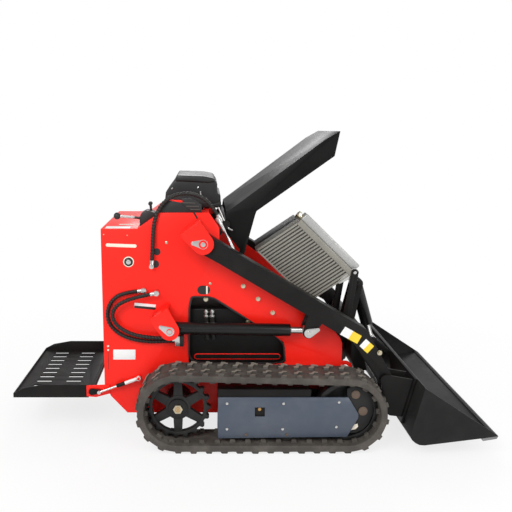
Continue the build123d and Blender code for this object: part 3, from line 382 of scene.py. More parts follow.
# building blocks for small pieces, all in millimetres from the drive axle
class Shape:
    def __init__(self):
        self.work = bmesh.new()

    def prism(self, outline, yLow, yHigh):
        rings = [[self.work.verts.new(spot(x, y, z)) for x, z in outline] for y in (yLow, yHigh)]
        count = len(outline)
        self.work.faces.new(rings[0])
        self.work.faces.new(list(reversed(rings[1])))
        for here in range(count):
            after = (here + 1) % count
            self.work.faces.new((rings[0][here], rings[1][here], rings[1][after], rings[0][after]))
        return self

    def block(self, xLow, xHigh, yLow, yHigh, zLow, zHigh):
        return self.prism([(xLow, zLow), (xHigh, zLow), (xHigh, zHigh), (xLow, zHigh)], yLow, yHigh)

    def drum(self, x, z, yLow, yHigh, radius, sides=28, inner=0):
        if not inner:
            turns = [2 * math.pi * step / sides for step in range(sides)]
            return self.prism([(x + radius * math.cos(t), z + radius * math.sin(t)) for t in turns], yLow, yHigh)
        rings = []
        for y, size in ((yLow, radius), (yHigh, radius), (yHigh, inner), (yLow, inner)):
            turns = [2 * math.pi * step / sides for step in range(sides)]
            rings.append([self.work.verts.new(spot(x + size * math.cos(t), y, z + size * math.sin(t)))
                          for t in turns])
        for ring in range(4):
            near, far = rings[ring], rings[(ring + 1) % 4]
            for here in range(sides):
                after = (here + 1) % sides
                self.work.faces.new((near[here], far[here], far[after], near[after]))
        return self

    def capsule(self, start, end, yLow, yHigh, radiusStart, radiusEnd, sides=10):
        # a flat teardrop or slot round two centres
        heading = math.atan2(end[1] - start[1], end[0] - start[0])
        outline = []
        for centre, radius, swing in ((start, radiusStart, math.pi / 2), (end, radiusEnd, -math.pi / 2)):
            for step in range(sides + 1):
                turn = heading + swing + math.pi * step / sides
                outline.append((centre[0] + radius * math.cos(turn), centre[1] + radius * math.sin(turn)))
        return self.prism(outline, yLow, yHigh)

    def tube(self, points, radius, sides=14):
        path = [spot(*point) for point in points]
        rings = []
        side = None
        for here, point in enumerate(path):
            before, after = path[max(here - 1, 0)], path[min(here + 1, len(path) - 1)]
            along = (after - before).normalized()
            side = side or crossStart
            side = (side - along * side.dot(along)).normalized()
            up = along.cross(side)
            size = (radius[here] if isinstance(radius, (list, tuple)) else radius) / 1000
            rings.append([self.work.verts.new(point + size * (side * math.cos(t) + up * math.sin(t)))
                          for t in [2 * math.pi * step / sides for step in range(sides)]])
        for near, far in zip(rings, rings[1:]):
            for here in range(sides):
                after = (here + 1) % sides
                self.work.faces.new((near[here], near[after], far[after], far[here]))
        self.work.faces.new(list(reversed(rings[0])))
        self.work.faces.new(rings[-1])
        return self

    def ball(self, x, y, z, radius, flat=1.0):
        size = Matrix.Diagonal((radius / 1000, radius * flat / 1000, radius / 1000, 1))
        bmesh.ops.create_uvsphere(self.work, u_segments=24, v_segments=14, radius=1,
                                  matrix=Matrix.Translation(spot(x, y, z)) @ size)
        return self

    def done(self, name, body, material, ease=0.0, segments=2):
        bmesh.ops.recalc_face_normals(self.work, faces=self.work.faces)
        mesh = bpy.data.meshes.new(name)
        self.work.to_mesh(mesh)
        self.work.free()
        if ease:
            rough = bpy.data.objects.new(name + "_rough", mesh)
            scene.collection.objects.link(rough)
            bevel = rough.modifiers.new("easedEdges", "BEVEL")
            bevel.width = ease / 1000
            bevel.segments = segments
            bevel.limit_method = "ANGLE"
            bevel.angle_limit = math.radians(easing["pieceBevel"])
            graph = bpy.context.evaluated_depsgraph_get()
            mesh = bpy.data.meshes.new_from_object(rough.evaluated_get(graph))
            bpy.data.objects.remove(rough)
        for face in mesh.polygons:
            face.use_smooth = True
        mesh.set_sharp_from_angle(angle=math.radians(easing["pieceSmooth"]))
        return place(name, mesh, body, material)


def smoothRoute(points, steps=6):
    # Catmull-Rom through the given points
    route = []
    for here in range(len(points) - 1):
        a, b = points[max(here - 1, 0)], points[here]
        c, d = points[here + 1], points[min(here + 2, len(points) - 1)]
        for step in range(steps):
            t = step / steps
            route.append(tuple(0.5 * (2 * b[i] + (c[i] - a[i]) * t + (2 * a[i] - 5 * b[i] + 4 * c[i] - d[i]) * t * t
                                      + (3 * b[i] - a[i] - 3 * c[i] + d[i]) * t ** 3) for i in range(3)))
    return route + [points[-1]]


# bolts grown on points by one Geometry Nodes tree
def nodeTree(name, inputs):
    tree = bpy.data.node_groups.new(name, "GeometryNodeTree")
    tree.interface.new_socket(name="Geometry", in_out="INPUT", socket_type="NodeSocketGeometry")
    for label, kind, value in inputs:
        tree.interface.new_socket(name=label, in_out="INPUT", socket_type=kind).default_value = value
    tree.interface.new_socket(name="Geometry", in_out="OUTPUT", socket_type="NodeSocketGeometry")
    return tree, tree.nodes.new("NodeGroupInput"), tree.nodes.new("NodeGroupOutput")


def boltTree():
    tree, given, result = nodeTree("hexBolts", [
        ("Washer Radius", "NodeSocketFloat", 0.012), ("Head Radius", "NodeSocketFloat", 0.008),
        ("Head Height", "NodeSocketFloat", 0.006), ("Washer Height", "NodeSocketFloat", 0.002),
        ("Seed", "NodeSocketInt", 3), ("Metal", "NodeSocketMaterial", zincPlate)])
    link = tree.links.new
    washer = addNode(tree, "GeometryNodeMeshCylinder", Vertices=24)
    head = addNode(tree, "GeometryNodeMeshCylinder", Vertices=6)
    for node, radius, depth in ((washer, "Washer Radius", "Washer Height"), (head, "Head Radius", "Head Height")):
        link(given.outputs[radius], node.inputs["Radius"])
        link(given.outputs[depth], node.inputs["Depth"])
    half = addNode(tree, "ShaderNodeMath", operation="MULTIPLY")
    half.inputs[1].default_value = 0.5
    link(given.outputs["Head Height"], half.inputs[0])
    lift = tree.nodes.new("ShaderNodeCombineXYZ")
    link(half.outputs[0], lift.inputs["Z"])
    raised = tree.nodes.new("GeometryNodeTransform")
    link(head.outputs["Mesh"], raised.inputs["Geometry"])
    link(lift.outputs[0], raised.inputs["Translation"])
    both = tree.nodes.new("GeometryNodeJoinGeometry")
    link(washer.outputs["Mesh"], both.inputs[0])
    link(raised.outputs[0], both.inputs[0])
    turned = tree.nodes.new("GeometryNodeTransform")
    turned.inputs["Rotation"].default_value = (math.radians(90), 0, 0)
    link(both.outputs[0], turned.inputs["Geometry"])
    spin = addNode(tree, "FunctionNodeRandomValue", data_type="FLOAT")
    spin.inputs[2].default_value, spin.inputs[3].default_value = 0.0, 1.05  # a hexagon repeats each 60 degrees
    link(given.outputs["Seed"], spin.inputs["Seed"])
    angle = tree.nodes.new("ShaderNodeCombineXYZ")
    link(spin.outputs[1], angle.inputs["Y"])
    grown = tree.nodes.new("GeometryNodeInstanceOnPoints")
    link(given.outputs["Geometry"], grown.inputs["Points"])
    link(turned.outputs[0], grown.inputs["Instance"])
    link(angle.outputs[0], grown.inputs["Rotation"])
    real = tree.nodes.new("GeometryNodeRealizeInstances")
    link(grown.outputs[0], real.inputs[0])
    metal = tree.nodes.new("GeometryNodeSetMaterial")
    link(real.outputs[0], metal.inputs["Geometry"])
    link(given.outputs["Metal"], metal.inputs["Material"])
    link(metal.outputs[0], result.inputs[0])
    return tree


def grow(name, tree, points, body, material, headings=None, **values):
    # runs a tree on bare points and keeps only the finished mesh
    seed = bpy.data.meshes.new(name + "_points")
    seed.from_pydata([spot(*point) for point in points], [], [])
    if headings:
        facing = seed.attributes.new("heading", "FLOAT_VECTOR", "POINT")
        for item, heading in zip(facing.data, headings):
            item.vector = heading
    carrier = bpy.data.objects.new(name + "_carrier", seed)
    scene.collection.objects.link(carrier)
    growth = carrier.modifiers.new("growth", "NODES")
    growth.node_group = tree
    for item in tree.interface.items_tree:
        if item.in_out == "INPUT" and item.name in values:
            growth[item.identifier] = values[item.name]
    carrier.update_tag()
    bpy.context.view_layer.update()
    mesh = bpy.data.meshes.new_from_object(carrier.evaluated_get(bpy.context.evaluated_depsgraph_get()))
    bpy.data.objects.remove(carrier)
    for face in mesh.polygons:
        face.use_smooth = False
    return place(name, mesh, body, material)


hexBolts = boltTree()


def bolts(name, points, body, material, washer, head, height, seed=3):
    return grow(name, hexBolts, points, body, material,
                **{"Washer Radius": washer / 1000, "Head Radius": head / 1000, "Head Height": height / 1000,
                   "Seed": seed})


skin = -335.0  # outer face of the right side plate


# side plate details: lock, strips, blank plates, holes and bolts
def sideDetails(s):
    x, z = s["lock"]
    ring, well, barrel, slot = s["lockRadii"]
    Shape().drum(x, z, skin - 3, skin, ring, 36).done("lockRing", "chassis", creamPlate, 1.2)
    Shape().drum(x, z, skin - 5, skin - 1, well, 36).done("lockWell", "chassis", blackPlastic, 1)
    lock = Shape().drum(x, z, skin - 9, skin - 2, barrel, 24)
    lock.block(x - 2, x + 2, skin - 11, skin - 8, z - slot, z + slot).done("lockBarrel", "chassis", brightSteel, 1)
    a, b = s["strip"]
    Shape().capsule(a, b, skin - 2, skin, s["stripHalf"], s["stripHalf"]).done("gripStrip", "chassis", creamPlate, 0.6)
    Shape().prism(s["badge"], skin - 1.6, skin).done("blankBadge", "chassis", whiteLabel, 0.4)
    low = [(x, z - (s["shadeDrop"] if corner < 2 else 0)) for corner, (x, z) in enumerate(s["badge"])]
    Shape().prism(low, skin - 2.0, skin - 0.6).done("badgeShade", "chassis", blackPlastic, 0.2)
    Shape().prism(s["label"], skin - 1.2, skin).done("blankLabel", "chassis", whiteLabel, 0.3)
    # each hole is a flat black disc on the plate: painted shade of its dark inside
    for index, (x, z, radius) in enumerate(s["holes"]):
        Shape().drum(x, z, skin - 0.8, skin + 0.5, radius, 30).done("hoseHole%d" % index, "chassis", blackPlastic)
    for index, (x, z, radius) in enumerate(s["caps"]):
        Shape().ball(x, skin, z, radius, 0.5).done("capScrew%d" % index, "chassis", zincPlate)
    for side, tag in bothSides:
        bolts("plateBolts" + tag, [(x, side * (1 - skin), z) for x, z in s["bolts"]], "chassis", zincPlate,
              *s["boltSizes"])
    x, z0, z1 = s["seam"]
    Shape().block(x - 1, x + 1, skin - 0.6, skin, z0, z1).done("hingeSeam", "chassis", blackPlastic)
    bolts("seamScrews", [(x + 1, skin - 1, z1 - drop) for drop in s["screwDrops"]], "chassis", creamPlate,
          *s["screwSizes"])


sideDetails({
    "lock": (-239, 884), "lockRadii": (26, 21, 12, 8), "strip": ((-339, 966), (-207, 961)), "stripHalf": 8,
    "shadeDrop": 14, "boltSizes": (11, 8.5, 14), "screwDrops": (6, 26), "screwSizes": (5, 4, 3),
    "badge": [(-214, 681), (-110, 671), (-114, 645), (-216, 655)],
    "label": [(-323, 442), (-214, 442), (-215, 391), (-324, 391)],
    "holes": [(-102, 933, 17), (-111, 873, 19)],
    "caps": [(-56, 978, 8), (154, 776, 7), (-356, 1017, 3), (-243, 1013, 3)],
    "bolts": [(314, 764), (387, 700), (459, 631), (133, 698), (338, 582)],
    "seam": (-349, 340, 466),
})
print("side plate dressed")


# black trim round the window and the oblong hole above it
trimCorner = 0.18  # share of an edge that its rounded corner takes


def trimLoop(name, outline, width, material, y):
    middleX = sum(p[0] for p in outline) / len(outline)
    middleZ = sum(p[1] for p in outline) / len(outline)
    points = []
    count = len(outline)
    for here in range(count):
        a, b, c = outline[here - 1], outline[here], outline[(here + 1) % count]
        for t in (0.0, 0.25, 0.5, 0.75, 1.0):
            start = [a[i] * trimCorner + b[i] * (1 - trimCorner) for i in (0, 1)]
            end = [c[i] * trimCorner + b[i] * (1 - trimCorner) for i in (0, 1)]
            u = 1 - t
            points.append((u * u * start[0] + 2 * u * t * b[0] + t * t * end[0],
                           u * u * start[1] + 2 * u * t * b[1] + t * t * end[1]))
    shape = Shape()
    rings = []
    inner = []
    for x, z in points:
        length = math.hypot(x - middleX, z - middleZ)
        inner.append((x + (middleX - x) / length * width, z + (middleZ - z) / length * width))
    for y0, line in ((y - 4, points), (y + 4, points), (y + 4, inner), (y - 4, inner)):
        rings.append([shape.work.verts.new(spot(x, y0, z)) for x, z in line])
    for ring in range(4):
        near, far = rings[ring], rings[(ring + 1) % 4]
        for here in range(len(points)):
            after = (here + 1) % len(points)
            shape.work.faces.new((near[here], far[here], far[after], near[after]))
    return shape.done(name, "chassis", material, 0.8)


windowOutline = [(46, 369), (48, 652), (60, 714), (146, 714), (180, 704), (519, 482), (529, 369)]
for side, tag in bothSides:
    trimLoop("windowTrim" + tag, windowOutline, 9, blackPlastic, -side * skin)


def oblongHole(s):
    a, b = s["ends"]
    # the hole is a flat black capsule on the plate: painted shade of its dark inside
    Shape().capsule(a, b, skin - 1, skin + 1, s["radius"], s["radius"]).done("oblongHole", "chassis", blackPlastic)
    x = s["strip"]
    Shape().block(x - 4, x + 4, skin - 1.6, skin, b[1] - s["radius"] + 2, b[1] + s["radius"] - 2).done(
        "holeStrip", "chassis", creamPlate, 0.4)


oblongHole({"ends": ((114, 744), (132, 744)), "radius": 22, "strip": 138})


# what shows through the window: a black panel, its red slotted guard and two unions on hoses
def engineBay(s):
    near, rim = s["near"], s["guardRim"]
    Shape().block(*s["panel"][:2], near, near + 4, *s["panel"][2:]).done("bayPanel", "chassis", blackPaint, 1)
    for index, (x0, x1, z, half) in enumerate(s["guard"]):
        slot = Shape().capsule((x0, z), (x1, z), near - 3, near, half, half)
        slot.done("guardSlot%d" % index, "chassis", redPaint, 0.6)
        fill = Shape().capsule((x0, z), (x1, z), near - 4, near - 1, half - rim, half - rim)
        fill.done("guardFill%d" % index, "chassis", blackPaint)
    y = near - s["hoseOut"]
    for index, x in enumerate(s["unions"]):
        union = Shape()
        for high, low, radius, corners in s["unionParts"]:
            union.tube([(x, y, high), (x, y, low)], radius, corners)
        union.done("bayUnion%d" % index, "chassis", brightSteel, 0.8)
        Shape().tube([(x, y, 600), (x + 2, y, 540), (x + 8, y + 2, 490)], s["hoseRadius"]).done(
            "bayHose%d" % index, "chassis", hoseRubber)


engineBay({"near": -306, "panel": (48, 524, 372, 560), "guard": [(90, 490, 397, 15)], "guardRim": 4,
           "unions": (134, 164), "unionParts": [(640, 600, 8, 14), (612, 600, 13, 6), (632, 624, 12, 6)],
           "hoseOut": 8, "hoseRadius": 12})


# silver keeper plates on the pins of the arm and cylinders
keeperSettings = {"radius": 23, "plate": 4, "head": 9, "tail": 0.42, "pin": 0.5, "screw": 0.24}


def keeper(name, big, small, y, body, s):
    radius = s["radius"]
    for side, tag in bothSides:
        piece = Shape().capsule(big, small, *onSide(side, y, y + s["plate"]), radius, radius * s["tail"])
        head = onSide(side, y + s["plate"], y + s["head"])
        piece.drum(*big, *head, radius * s["pin"], 20).drum(*small, *head, radius * s["screw"], 6)
        piece.done(name + tag, body, brightSteel, 1)


bracketFace = 441  # outer face of the red brackets
keeper("armKeeper", (120, 988), (74, 993), bracketFace, "chassis", keeperSettings)
keeper("liftBaseKeeper", (-39, 569), (-80, 590), bracketFace, "chassis", keeperSettings)
keeper("liftEyeKeeper", (623, 558), (664, 575), 434, "arms", keeperSettings)
print("keepers made")


# ribs on the bracket flanges, where the plate is folded
def bracketRibs(s, radius):
    for name, (a, b) in s.items():
        for side, tag in bothSides:
            rib = Shape().capsule(a, b, *onSide(side, 1 - skin, bracketFace), radius, radius)
            rib.done(name + tag, "chassis", redPaint, 1.5)


bracketRibs({"armRib": ((24, 1026), (100, 1090)), "liftRib": ((-122, 620), (-52, 672))}, 5)


# blank labels on the arm and the bolt beside them
def armLabels(s):
    for index, (white, yellow) in enumerate(s["labels"]):
        for side, tag in bothSides:
            face = onSide(side, s["face"], s["face"] + 1)
            Shape().prism(white, *face).done("labelWhite%d%s" % (index, tag), "arms", whiteLabel)
            Shape().prism(yellow, *face).done("labelYellow%d%s" % (index, tag), "arms", yellowLabel)
    x, z = s["bolt"]
    bolts("armBolt", [(x, -s["face"] - 1, z)], "arms", zincPlate, *s["boltSizes"])


armLabels({"face": 425, "bolt": (965, 458), "boltSizes": (12, 9, 10), "labels": [
    ([(796, 588), (835, 566), (812, 527), (772, 550)], [(835, 566), (876, 542), (855, 503), (812, 527)]),
    ([(897, 527), (917, 509), (886, 474), (867, 492)], [(917, 509), (937, 491), (906, 455), (886, 474)])]})


# cooler: slats, frame, side bar, end tank seam and unions
def slatTree():
    tree, given, result = nodeTree("coolerSlats", [
        ("Count", "NodeSocketInt", 21), ("Step", "NodeSocketVector", (0, 0, -0.01)),
        ("Size", "NodeSocketVector", (0.2, 0.01, 0.004)), ("Angle", "NodeSocketFloat", 0.0),
        ("Metal", "NodeSocketMaterial", coolerMetal)])
    link = tree.links.new
    row = addNode(tree, "GeometryNodeMeshLine", mode="OFFSET")
    link(given.outputs["Count"], row.inputs["Count"])
    link(given.outputs["Step"], row.inputs["Offset"])
    slat = tree.nodes.new("GeometryNodeMeshCube")
    link(given.outputs["Size"], slat.inputs["Size"])
    angle = tree.nodes.new("ShaderNodeCombineXYZ")
    link(given.outputs["Angle"], angle.inputs["Y"])
    onRow = tree.nodes.new("GeometryNodeInstanceOnPoints")
    link(row.outputs["Mesh"], onRow.inputs["Points"])
    link(slat.outputs["Mesh"], onRow.inputs["Instance"])
    link(angle.outputs[0], onRow.inputs["Rotation"])
    rowMesh = tree.nodes.new("GeometryNodeRealizeInstances")
    link(onRow.outputs[0], rowMesh.inputs[0])
    onPoint = tree.nodes.new("GeometryNodeInstanceOnPoints")
    link(given.outputs["Geometry"], onPoint.inputs["Points"])
    link(rowMesh.outputs[0], onPoint.inputs["Instance"])
    real = tree.nodes.new("GeometryNodeRealizeInstances")
    link(onPoint.outputs[0], real.inputs[0])
    metal = tree.nodes.new("GeometryNodeSetMaterial")
    link(real.outputs[0], metal.inputs["Geometry"])
    link(given.outputs["Metal"], metal.inputs["Material"])
    link(metal.outputs[0], result.inputs[0])
    return tree


def dressCooler(s):
    rear, high, front = [Vector(point) for point in s["corners"]]
    across, down = (high - rear), (front - high)
    step = down.normalized()
    inward = -across.normalized()
    near = s["near"]

    def lay(along, sink):
        point = high + step * along + inward * sink
        return point.x, point.y

    def strip(name, ends, width, depth, material, ease=1.0):
        (a, b), (c, d) = lay(*ends[0]), lay(*ends[1])
        run = Vector((c - a, d - b)).normalized()
        side = Vector((-run.y, run.x)) * width / 2
        outline = [(a - side.x, b - side.y), (c - side.x, d - side.y), (c + side.x, d + side.y),
                   (a + side.x, b + side.y)]
        Shape().prism(outline, near - depth, near).done(name, "cooler", material, ease)

    length, width = down.length, across.length
    edge, top, rail, proud = s["edge"], s["topRail"], s["rail"], s["railOut"]
    strip("coolerBar", ((0, edge / 2), (length, edge / 2)), edge, s["barOut"], coolerMetal, 2)
    strip("coolerTopRail", ((top / 2, edge), (top / 2, width)), top, proud, coolerMetal)
    strip("coolerFootRail", ((length - rail / 2, edge), (length - rail / 2, width)), rail, proud, coolerMetal)
    strip("coolerSideRail", ((0, width - rail / 2), (length, width - rail / 2)), rail, proud, coolerMetal)
    back = [lay(top, edge), lay(length - rail, edge), lay(length - rail, width - rail), lay(top, width - rail)]
    # the fins between the slats are one flat dark sheet: real fins, their darkness painted shade of the deep gaps
    Shape().prism(back, near - 1.5, near).done("finBed", "cooler", finShade)
    count = s["slats"]
    pitch = (length - s["slatStart"] - top) / count
    first = lay(s["slatStart"] + pitch / 2, (edge + width - rail) / 2)
    grow("coolerSlatRow", slatTree(), [(first[0], near - s["slatOut"], first[1])], "cooler", coolerMetal,
         Count=count, Step=(step.x * pitch / 1000, 0, step.y * pitch / 1000),
         Size=((width - edge - rail) / 1000, s["slatDeep"] / 1000, pitch * s["slatShare"] / 1000),
         Angle=-math.atan2(across.y, across.x))
    out = Vector((-step.y, step.x))
    if out.dot(inward) > 0:
        out = -out
    seam = high + step * length * s["seamShare"]
    a, b, thick = seam + out * 2, seam + out * (s["tank"] - 2), step * s["seamHalf"]
    rib = Shape().prism([(p.x, p.y) for p in (a - thick, a + thick, b + thick, b - thick)], *s["seamY"])
    rib.done("tankSeam", "cooler", tankMetal, 1)
    y, pipe, nut = s["unionY"], s["unionPipe"], s["unionNut"]
    for index, (along, reach) in enumerate(s["unions"]):
        base = high + step * along + out * s["unionOut"]
        tip = base + step * reach
        mid = base.lerp(tip, 0.5)
        union = Shape().tube([(base.x, y, base.y), (tip.x, y, tip.y)], pipe, 16)
        union.tube([(mid.x, y, mid.y), (tip.x, y, tip.y)], nut, 6)
        union.done("coolerUnion%d" % index, "cooler", zincPlate, 1)


dressCooler({"corners": ((381, 921), (604, 1073), (876, 809)), "near": -230, "edge": 30, "topRail": 10, "rail": 8,
             "barOut": 9, "railOut": 7, "slats": 21, "slatStart": 12, "slatOut": 3.5, "slatDeep": 6,
             "slatShare": 0.52, "tank": 42, "seamShare": 0.52, "seamHalf": 3, "seamY": (-222, -148),
             "unions": ((6, -34), (352, 24)), "unionOut": 8, "unionY": -190, "unionPipe": 15, "unionNut": 20})
print("cooler dressed")


# tracks: a belt on the CAD track's line, with lugs grown on it by Geometry Nodes
# rear and front are the radii of the cord line; inside and outside are measured from it
trackSettings = {"rear": 167.0, "front": 157.0, "rearZ": 200.0, "frontZ": 190.0, "links": 36, "pitch": 73.0,
                 "start": 5.0, "centre": 455.0, "inside": -9.0, "outside": 24.0, "half": 90.0, "lug": 8.8,
                 "rib": 1.2, "tooth": 15.0, "sunk": 3.0}


def trackPoint(s, distance):
    # place and outward turn at a distance along the cord line
    span = (s["pitch"] * s["links"] - math.pi * (s["rear"] + s["front"])) / 2
    tilt = 2 * math.atan((s["rear"] - s["front"]) / span)
    rearArc, frontArc = s["rear"] * (math.pi + tilt), s["front"] * (math.pi - tilt)
    distance %= 2 * span + rearArc + frontArc
    if distance < span:
        return distance, s["rearZ"] - s["rear"], -math.pi / 2
    distance -= span
    if distance < frontArc:
        turn = -math.pi / 2 + distance / s["front"]
        return span + s["front"] * math.cos(turn), s["frontZ"] + s["front"] * math.sin(turn), turn
    distance -= frontArc
    turn = math.pi / 2 - tilt
    if distance < span:
        x = span + s["front"] * math.cos(turn) - distance * math.cos(tilt)
        return x, s["frontZ"] + s["front"] * math.sin(turn) + distance * math.sin(tilt), turn
    turn += (distance - span) / s["rear"]
    return s["rear"] * math.cos(turn), s["rearZ"] + s["rear"] * math.sin(turn), turn


def beltShape(s, side):
    # a closed band; its tread sags a little between the lugs, four stations to a link
    sags, treadFrom = (0.0, 0.9, 1.6, 0.9), 12
    shape = Shape()
    half, low, high = s["half"], s["inside"], s["outside"]
    section = [(high, half - 6), (high - 1, half - 2), (high - 3, half), (low + 8, half), (low + 2, half - 3),
               (low, half - 9)]
    section += [(depth, -across) for depth, across in reversed(section)]
    section += [(high, -half / 3), (high, half / 3)]
    steps = s["links"] * 4
    rings = []
    for step in range(steps):
        x, z, turn = trackPoint(s, s["start"] + step * s["pitch"] / 4)
        ring = [(depth - (sags[step % 4] if depth > treadFrom else 0), across) for depth, across in section]
        rings.append([shape.work.verts.new(spot(
            x + depth * math.cos(turn), side * s["centre"] + across, z + depth * math.sin(turn)))
            for depth, across in ring])
    for here in range(steps):
        near, far = rings[here], rings[(here + 1) % steps]
        for corner in range(len(section)):
            after = (corner + 1) % len(section)
            shape.work.faces.new((near[corner], near[after], far[after], far[corner]))
    return shape


def lugMesh(name, outline, base, top, taper, side):
    # a block with sloped flanks, flagged on its worn top; X outward, Y across, Z along the track
    middleX = sum(p[0] for p in outline) / len(outline)
    middleY = sum(p[1] for p in outline) / len(outline)
    work = bmesh.new()
    rings = []
    for height, grow in ((base, 1.0), (top, taper)):
        ring = []
        for x, w in outline:
            along, across = middleX + (x - middleX) * grow, middleY + (w - middleY) * grow
            out = side * (trackSettings["half"] - across)
            ring.append(work.verts.new((height / 1000, out / 1000, -along / 1000)))
        rings.append(ring)
    count = len(outline)
    for here in range(count):
        after = (here + 1) % count
        work.faces.new((rings[0][here], rings[0][after], rings[1][after], rings[1][here]))
    work.faces.new(rings[1])  # the top, after the flanks
    work.faces.new(list(reversed(rings[0])))
    bmesh.ops.recalc_face_normals(work, faces=work.faces)
    mesh = bpy.data.meshes.new(name)
    work.to_mesh(mesh)
    work.free()
    flag = mesh.attributes.new("worn", "BOOLEAN", "FACE")
    flag.data[count].value = True
    thing = bpy.data.objects.new(name, mesh)
    scene.collection.objects.link(thing)
    return thing


def lugTree():
    tree, given, result = nodeTree("trackLugs", [
        ("Lug", "NodeSocketObject", None), ("Rubber", "NodeSocketMaterial", trackRubber),
        ("Worn", "NodeSocketMaterial", lugRubber), ("Seed", "NodeSocketInt", 7)])
    link = tree.links.new
    part = tree.nodes.new("GeometryNodeObjectInfo")
    link(given.outputs["Lug"], part.inputs["Object"])
    heading = addNode(tree, "GeometryNodeInputNamedAttribute", data_type="FLOAT_VECTOR")
    heading.inputs["Name"].default_value = "heading"
    wear = addNode(tree, "FunctionNodeRandomValue", data_type="FLOAT_VECTOR")
    wear.inputs[0].default_value, wear.inputs[1].default_value = (0.97, 0.94, 0.93), (1.0, 1.0, 1.05)
    link(given.outputs["Seed"], wear.inputs["Seed"])
    grown = tree.nodes.new("GeometryNodeInstanceOnPoints")
    link(given.outputs["Geometry"], grown.inputs["Points"])
    link(part.outputs["Geometry"], grown.inputs["Instance"])
    link(heading.outputs["Attribute"], grown.inputs["Rotation"])
    link(wear.outputs[0], grown.inputs["Scale"])
    real = tree.nodes.new("GeometryNodeRealizeInstances")
    link(grown.outputs[0], real.inputs[0])
    flag = addNode(tree, "GeometryNodeInputNamedAttribute", data_type="BOOLEAN")
    flag.inputs["Name"].default_value = "worn"
    whole, top = tree.nodes.new("GeometryNodeSetMaterial"), tree.nodes.new("GeometryNodeSetMaterial")
    link(real.outputs[0], whole.inputs["Geometry"])
    link(given.outputs["Rubber"], whole.inputs["Material"])
    link(whole.outputs[0], top.inputs["Geometry"])
    link(flag.outputs["Attribute"], top.inputs["Selection"])
    link(given.outputs["Worn"], top.inputs["Material"])
    link(top.outputs[0], result.inputs[0])
    return tree


trackLugs = lugTree()


# along and across the belt in mm, then the row's shift along it and its taper
lugOutlines = {
    "Outer": ([(-24, 34), (-5, 34), (8, 57), (27, 55), (27, 68), (4, 76), (-8, 55), (-24, 50)], 0.0, 0.84),
    "Inner": ([(-25, 112), (0, 112), (11, 146), (30, 143), (32, 160), (9, 177), (-4, 176), (-10, 138), (-25, 130)],
              -10.0, 0.86),
    "Nub": ([(-14, 1), (16, 1), (22, 13), (2, 19), (-8, 12)], 0.0, 0.8),
    "Rib": ([(-26, 40), (26, 40), (26, 172), (-26, 172)], 36.0, 0.8),
    "Drive": ([(-15, 26), (15, 26), (13, 43), (-13, 43)], 36.0, 0.75),
    "Guide": ([(-15, 137), (15, 137), (13, 154), (-13, 154)], 36.0, 0.75),
}


def makeTrack(s, side, tag):
    belt = beltShape(s, side).done("trackBelt" + tag, "chassis", trackRubber)
    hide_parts("track_" + tag.lower())
    base, lugTop, ribTop = s["outside"] - s["sunk"], s["outside"] + s["lug"], s["outside"] + s["rib"]
    root, toothTop = s["inside"] + s["sunk"], s["inside"] - s["tooth"]
    rows = {"Outer": (base, lugTop, lugRubber), "Inner": (base, lugTop, lugRubber), "Nub": (base, lugTop, nubRubber),
            "Rib": (base, ribTop, trackRubber), "Drive": (root, toothTop, trackRubber),
            "Guide": (root, toothTop, trackRubber)}
    for row, (low, high, worn) in rows.items():
        outline, shift, taper = lugOutlines[row]
        lug = lugMesh("lug" + row + tag, outline, low, high, taper, side)
        points, headings = [], []
        for index in range(s["links"]):
            x, z, turn = trackPoint(s, s["start"] + index * s["pitch"] + shift)
            points.append((x, side * s["centre"], z))
            headings.append((0, -turn, 0))
        grow("trackRow" + row + tag, trackLugs, points, "chassis", None, headings=headings, Lug=lug, Worn=worn)
        bpy.data.objects.remove(lug)


for side, tag in bothSides:
    makeTrack(trackSettings, side, tag)
print("tracks grown")


# drive sprocket with a toothed rim, seen through the open side of the track
def makeSprocket(s, side, tag):
    x, z = 0, trackSettings["rearZ"]
    near, far = trackSettings["centre"] + s["half"], trackSettings["centre"] - s["half"]
    flank, crest = s["root"] + 1, s["tip"] - 2
    rim = []
    for tooth in range(s["teeth"]):
        for share, radius in ((-0.5, s["root"]), (-0.26, flank), (-0.15, crest), (0.0, s["tip"]), (0.15, crest),
                              (0.26, flank)):
            rim.append((2 * math.pi * (tooth + share) / s["teeth"], radius))
    shape = Shape()
    rings = []
    for y, inner in ((near, False), (far, False), (far, True), (near, True)):
        rings.append([shape.work.verts.new(spot(
            x + (s["rim"] if inner else radius) * math.cos(turn), side * y,
            z + (s["rim"] if inner else radius) * math.sin(turn))) for turn, radius in rim])
    for ring in range(4):
        first, second = rings[ring], rings[(ring + 1) % 4]
        for here in range(len(rim)):
            after = (here + 1) % len(rim)
            shape.work.faces.new((first[here], second[here], second[after], first[after]))
    ends = onSide(side, near - 2, far + 2)
    for spoke in range(s["spokes"]):
        turn = 2 * math.pi * (spoke + 0.5) / s["spokes"]
        reach = Vector((math.cos(turn), math.sin(turn)))
        across = Vector((-reach.y, reach.x))
        inner, outer = reach * s["spokeRoot"], reach * (s["rim"] + 3)
        wide, slim = across * s["rootHalf"], across * s["endHalf"]
        shape.prism([(x + p.x, z + p.y) for p in (inner - wide, outer - slim, outer + slim, inner + wide)], *ends)
    shape.drum(x, z, *onSide(side, near, far), s["disc"], 40)
    sprocket = shape.done("sprocketWheel" + tag, "chassis", castBlack, 2)
    motor = Shape().drum(x, z, *onSide(side, far, -skin), s["motor"], 40)
    motor.done("driveMotor" + tag, "chassis", blackPaint, 2)
    # on the hub's face: low and high off the wheel, outer radius, corners and bore
    for name, low, high, radius, corners, bore, material, ease in s["hub"]:
        face = onSide(side, near + low, near + high)
        Shape().drum(x, z, *face, radius, corners, bore).done(name + tag, "chassis", material, ease)
    end = onSide(side, near + s["end"][0], near + s["end"][1])
    cap = Shape().drum(x, z, *end, 13, 24, 9).drum(x, z, *end, 6, 18)
    cap.done("axleEnd" + tag, "chassis", brassMetal, 0.6)
    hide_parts("sprocket_" + tag.lower())


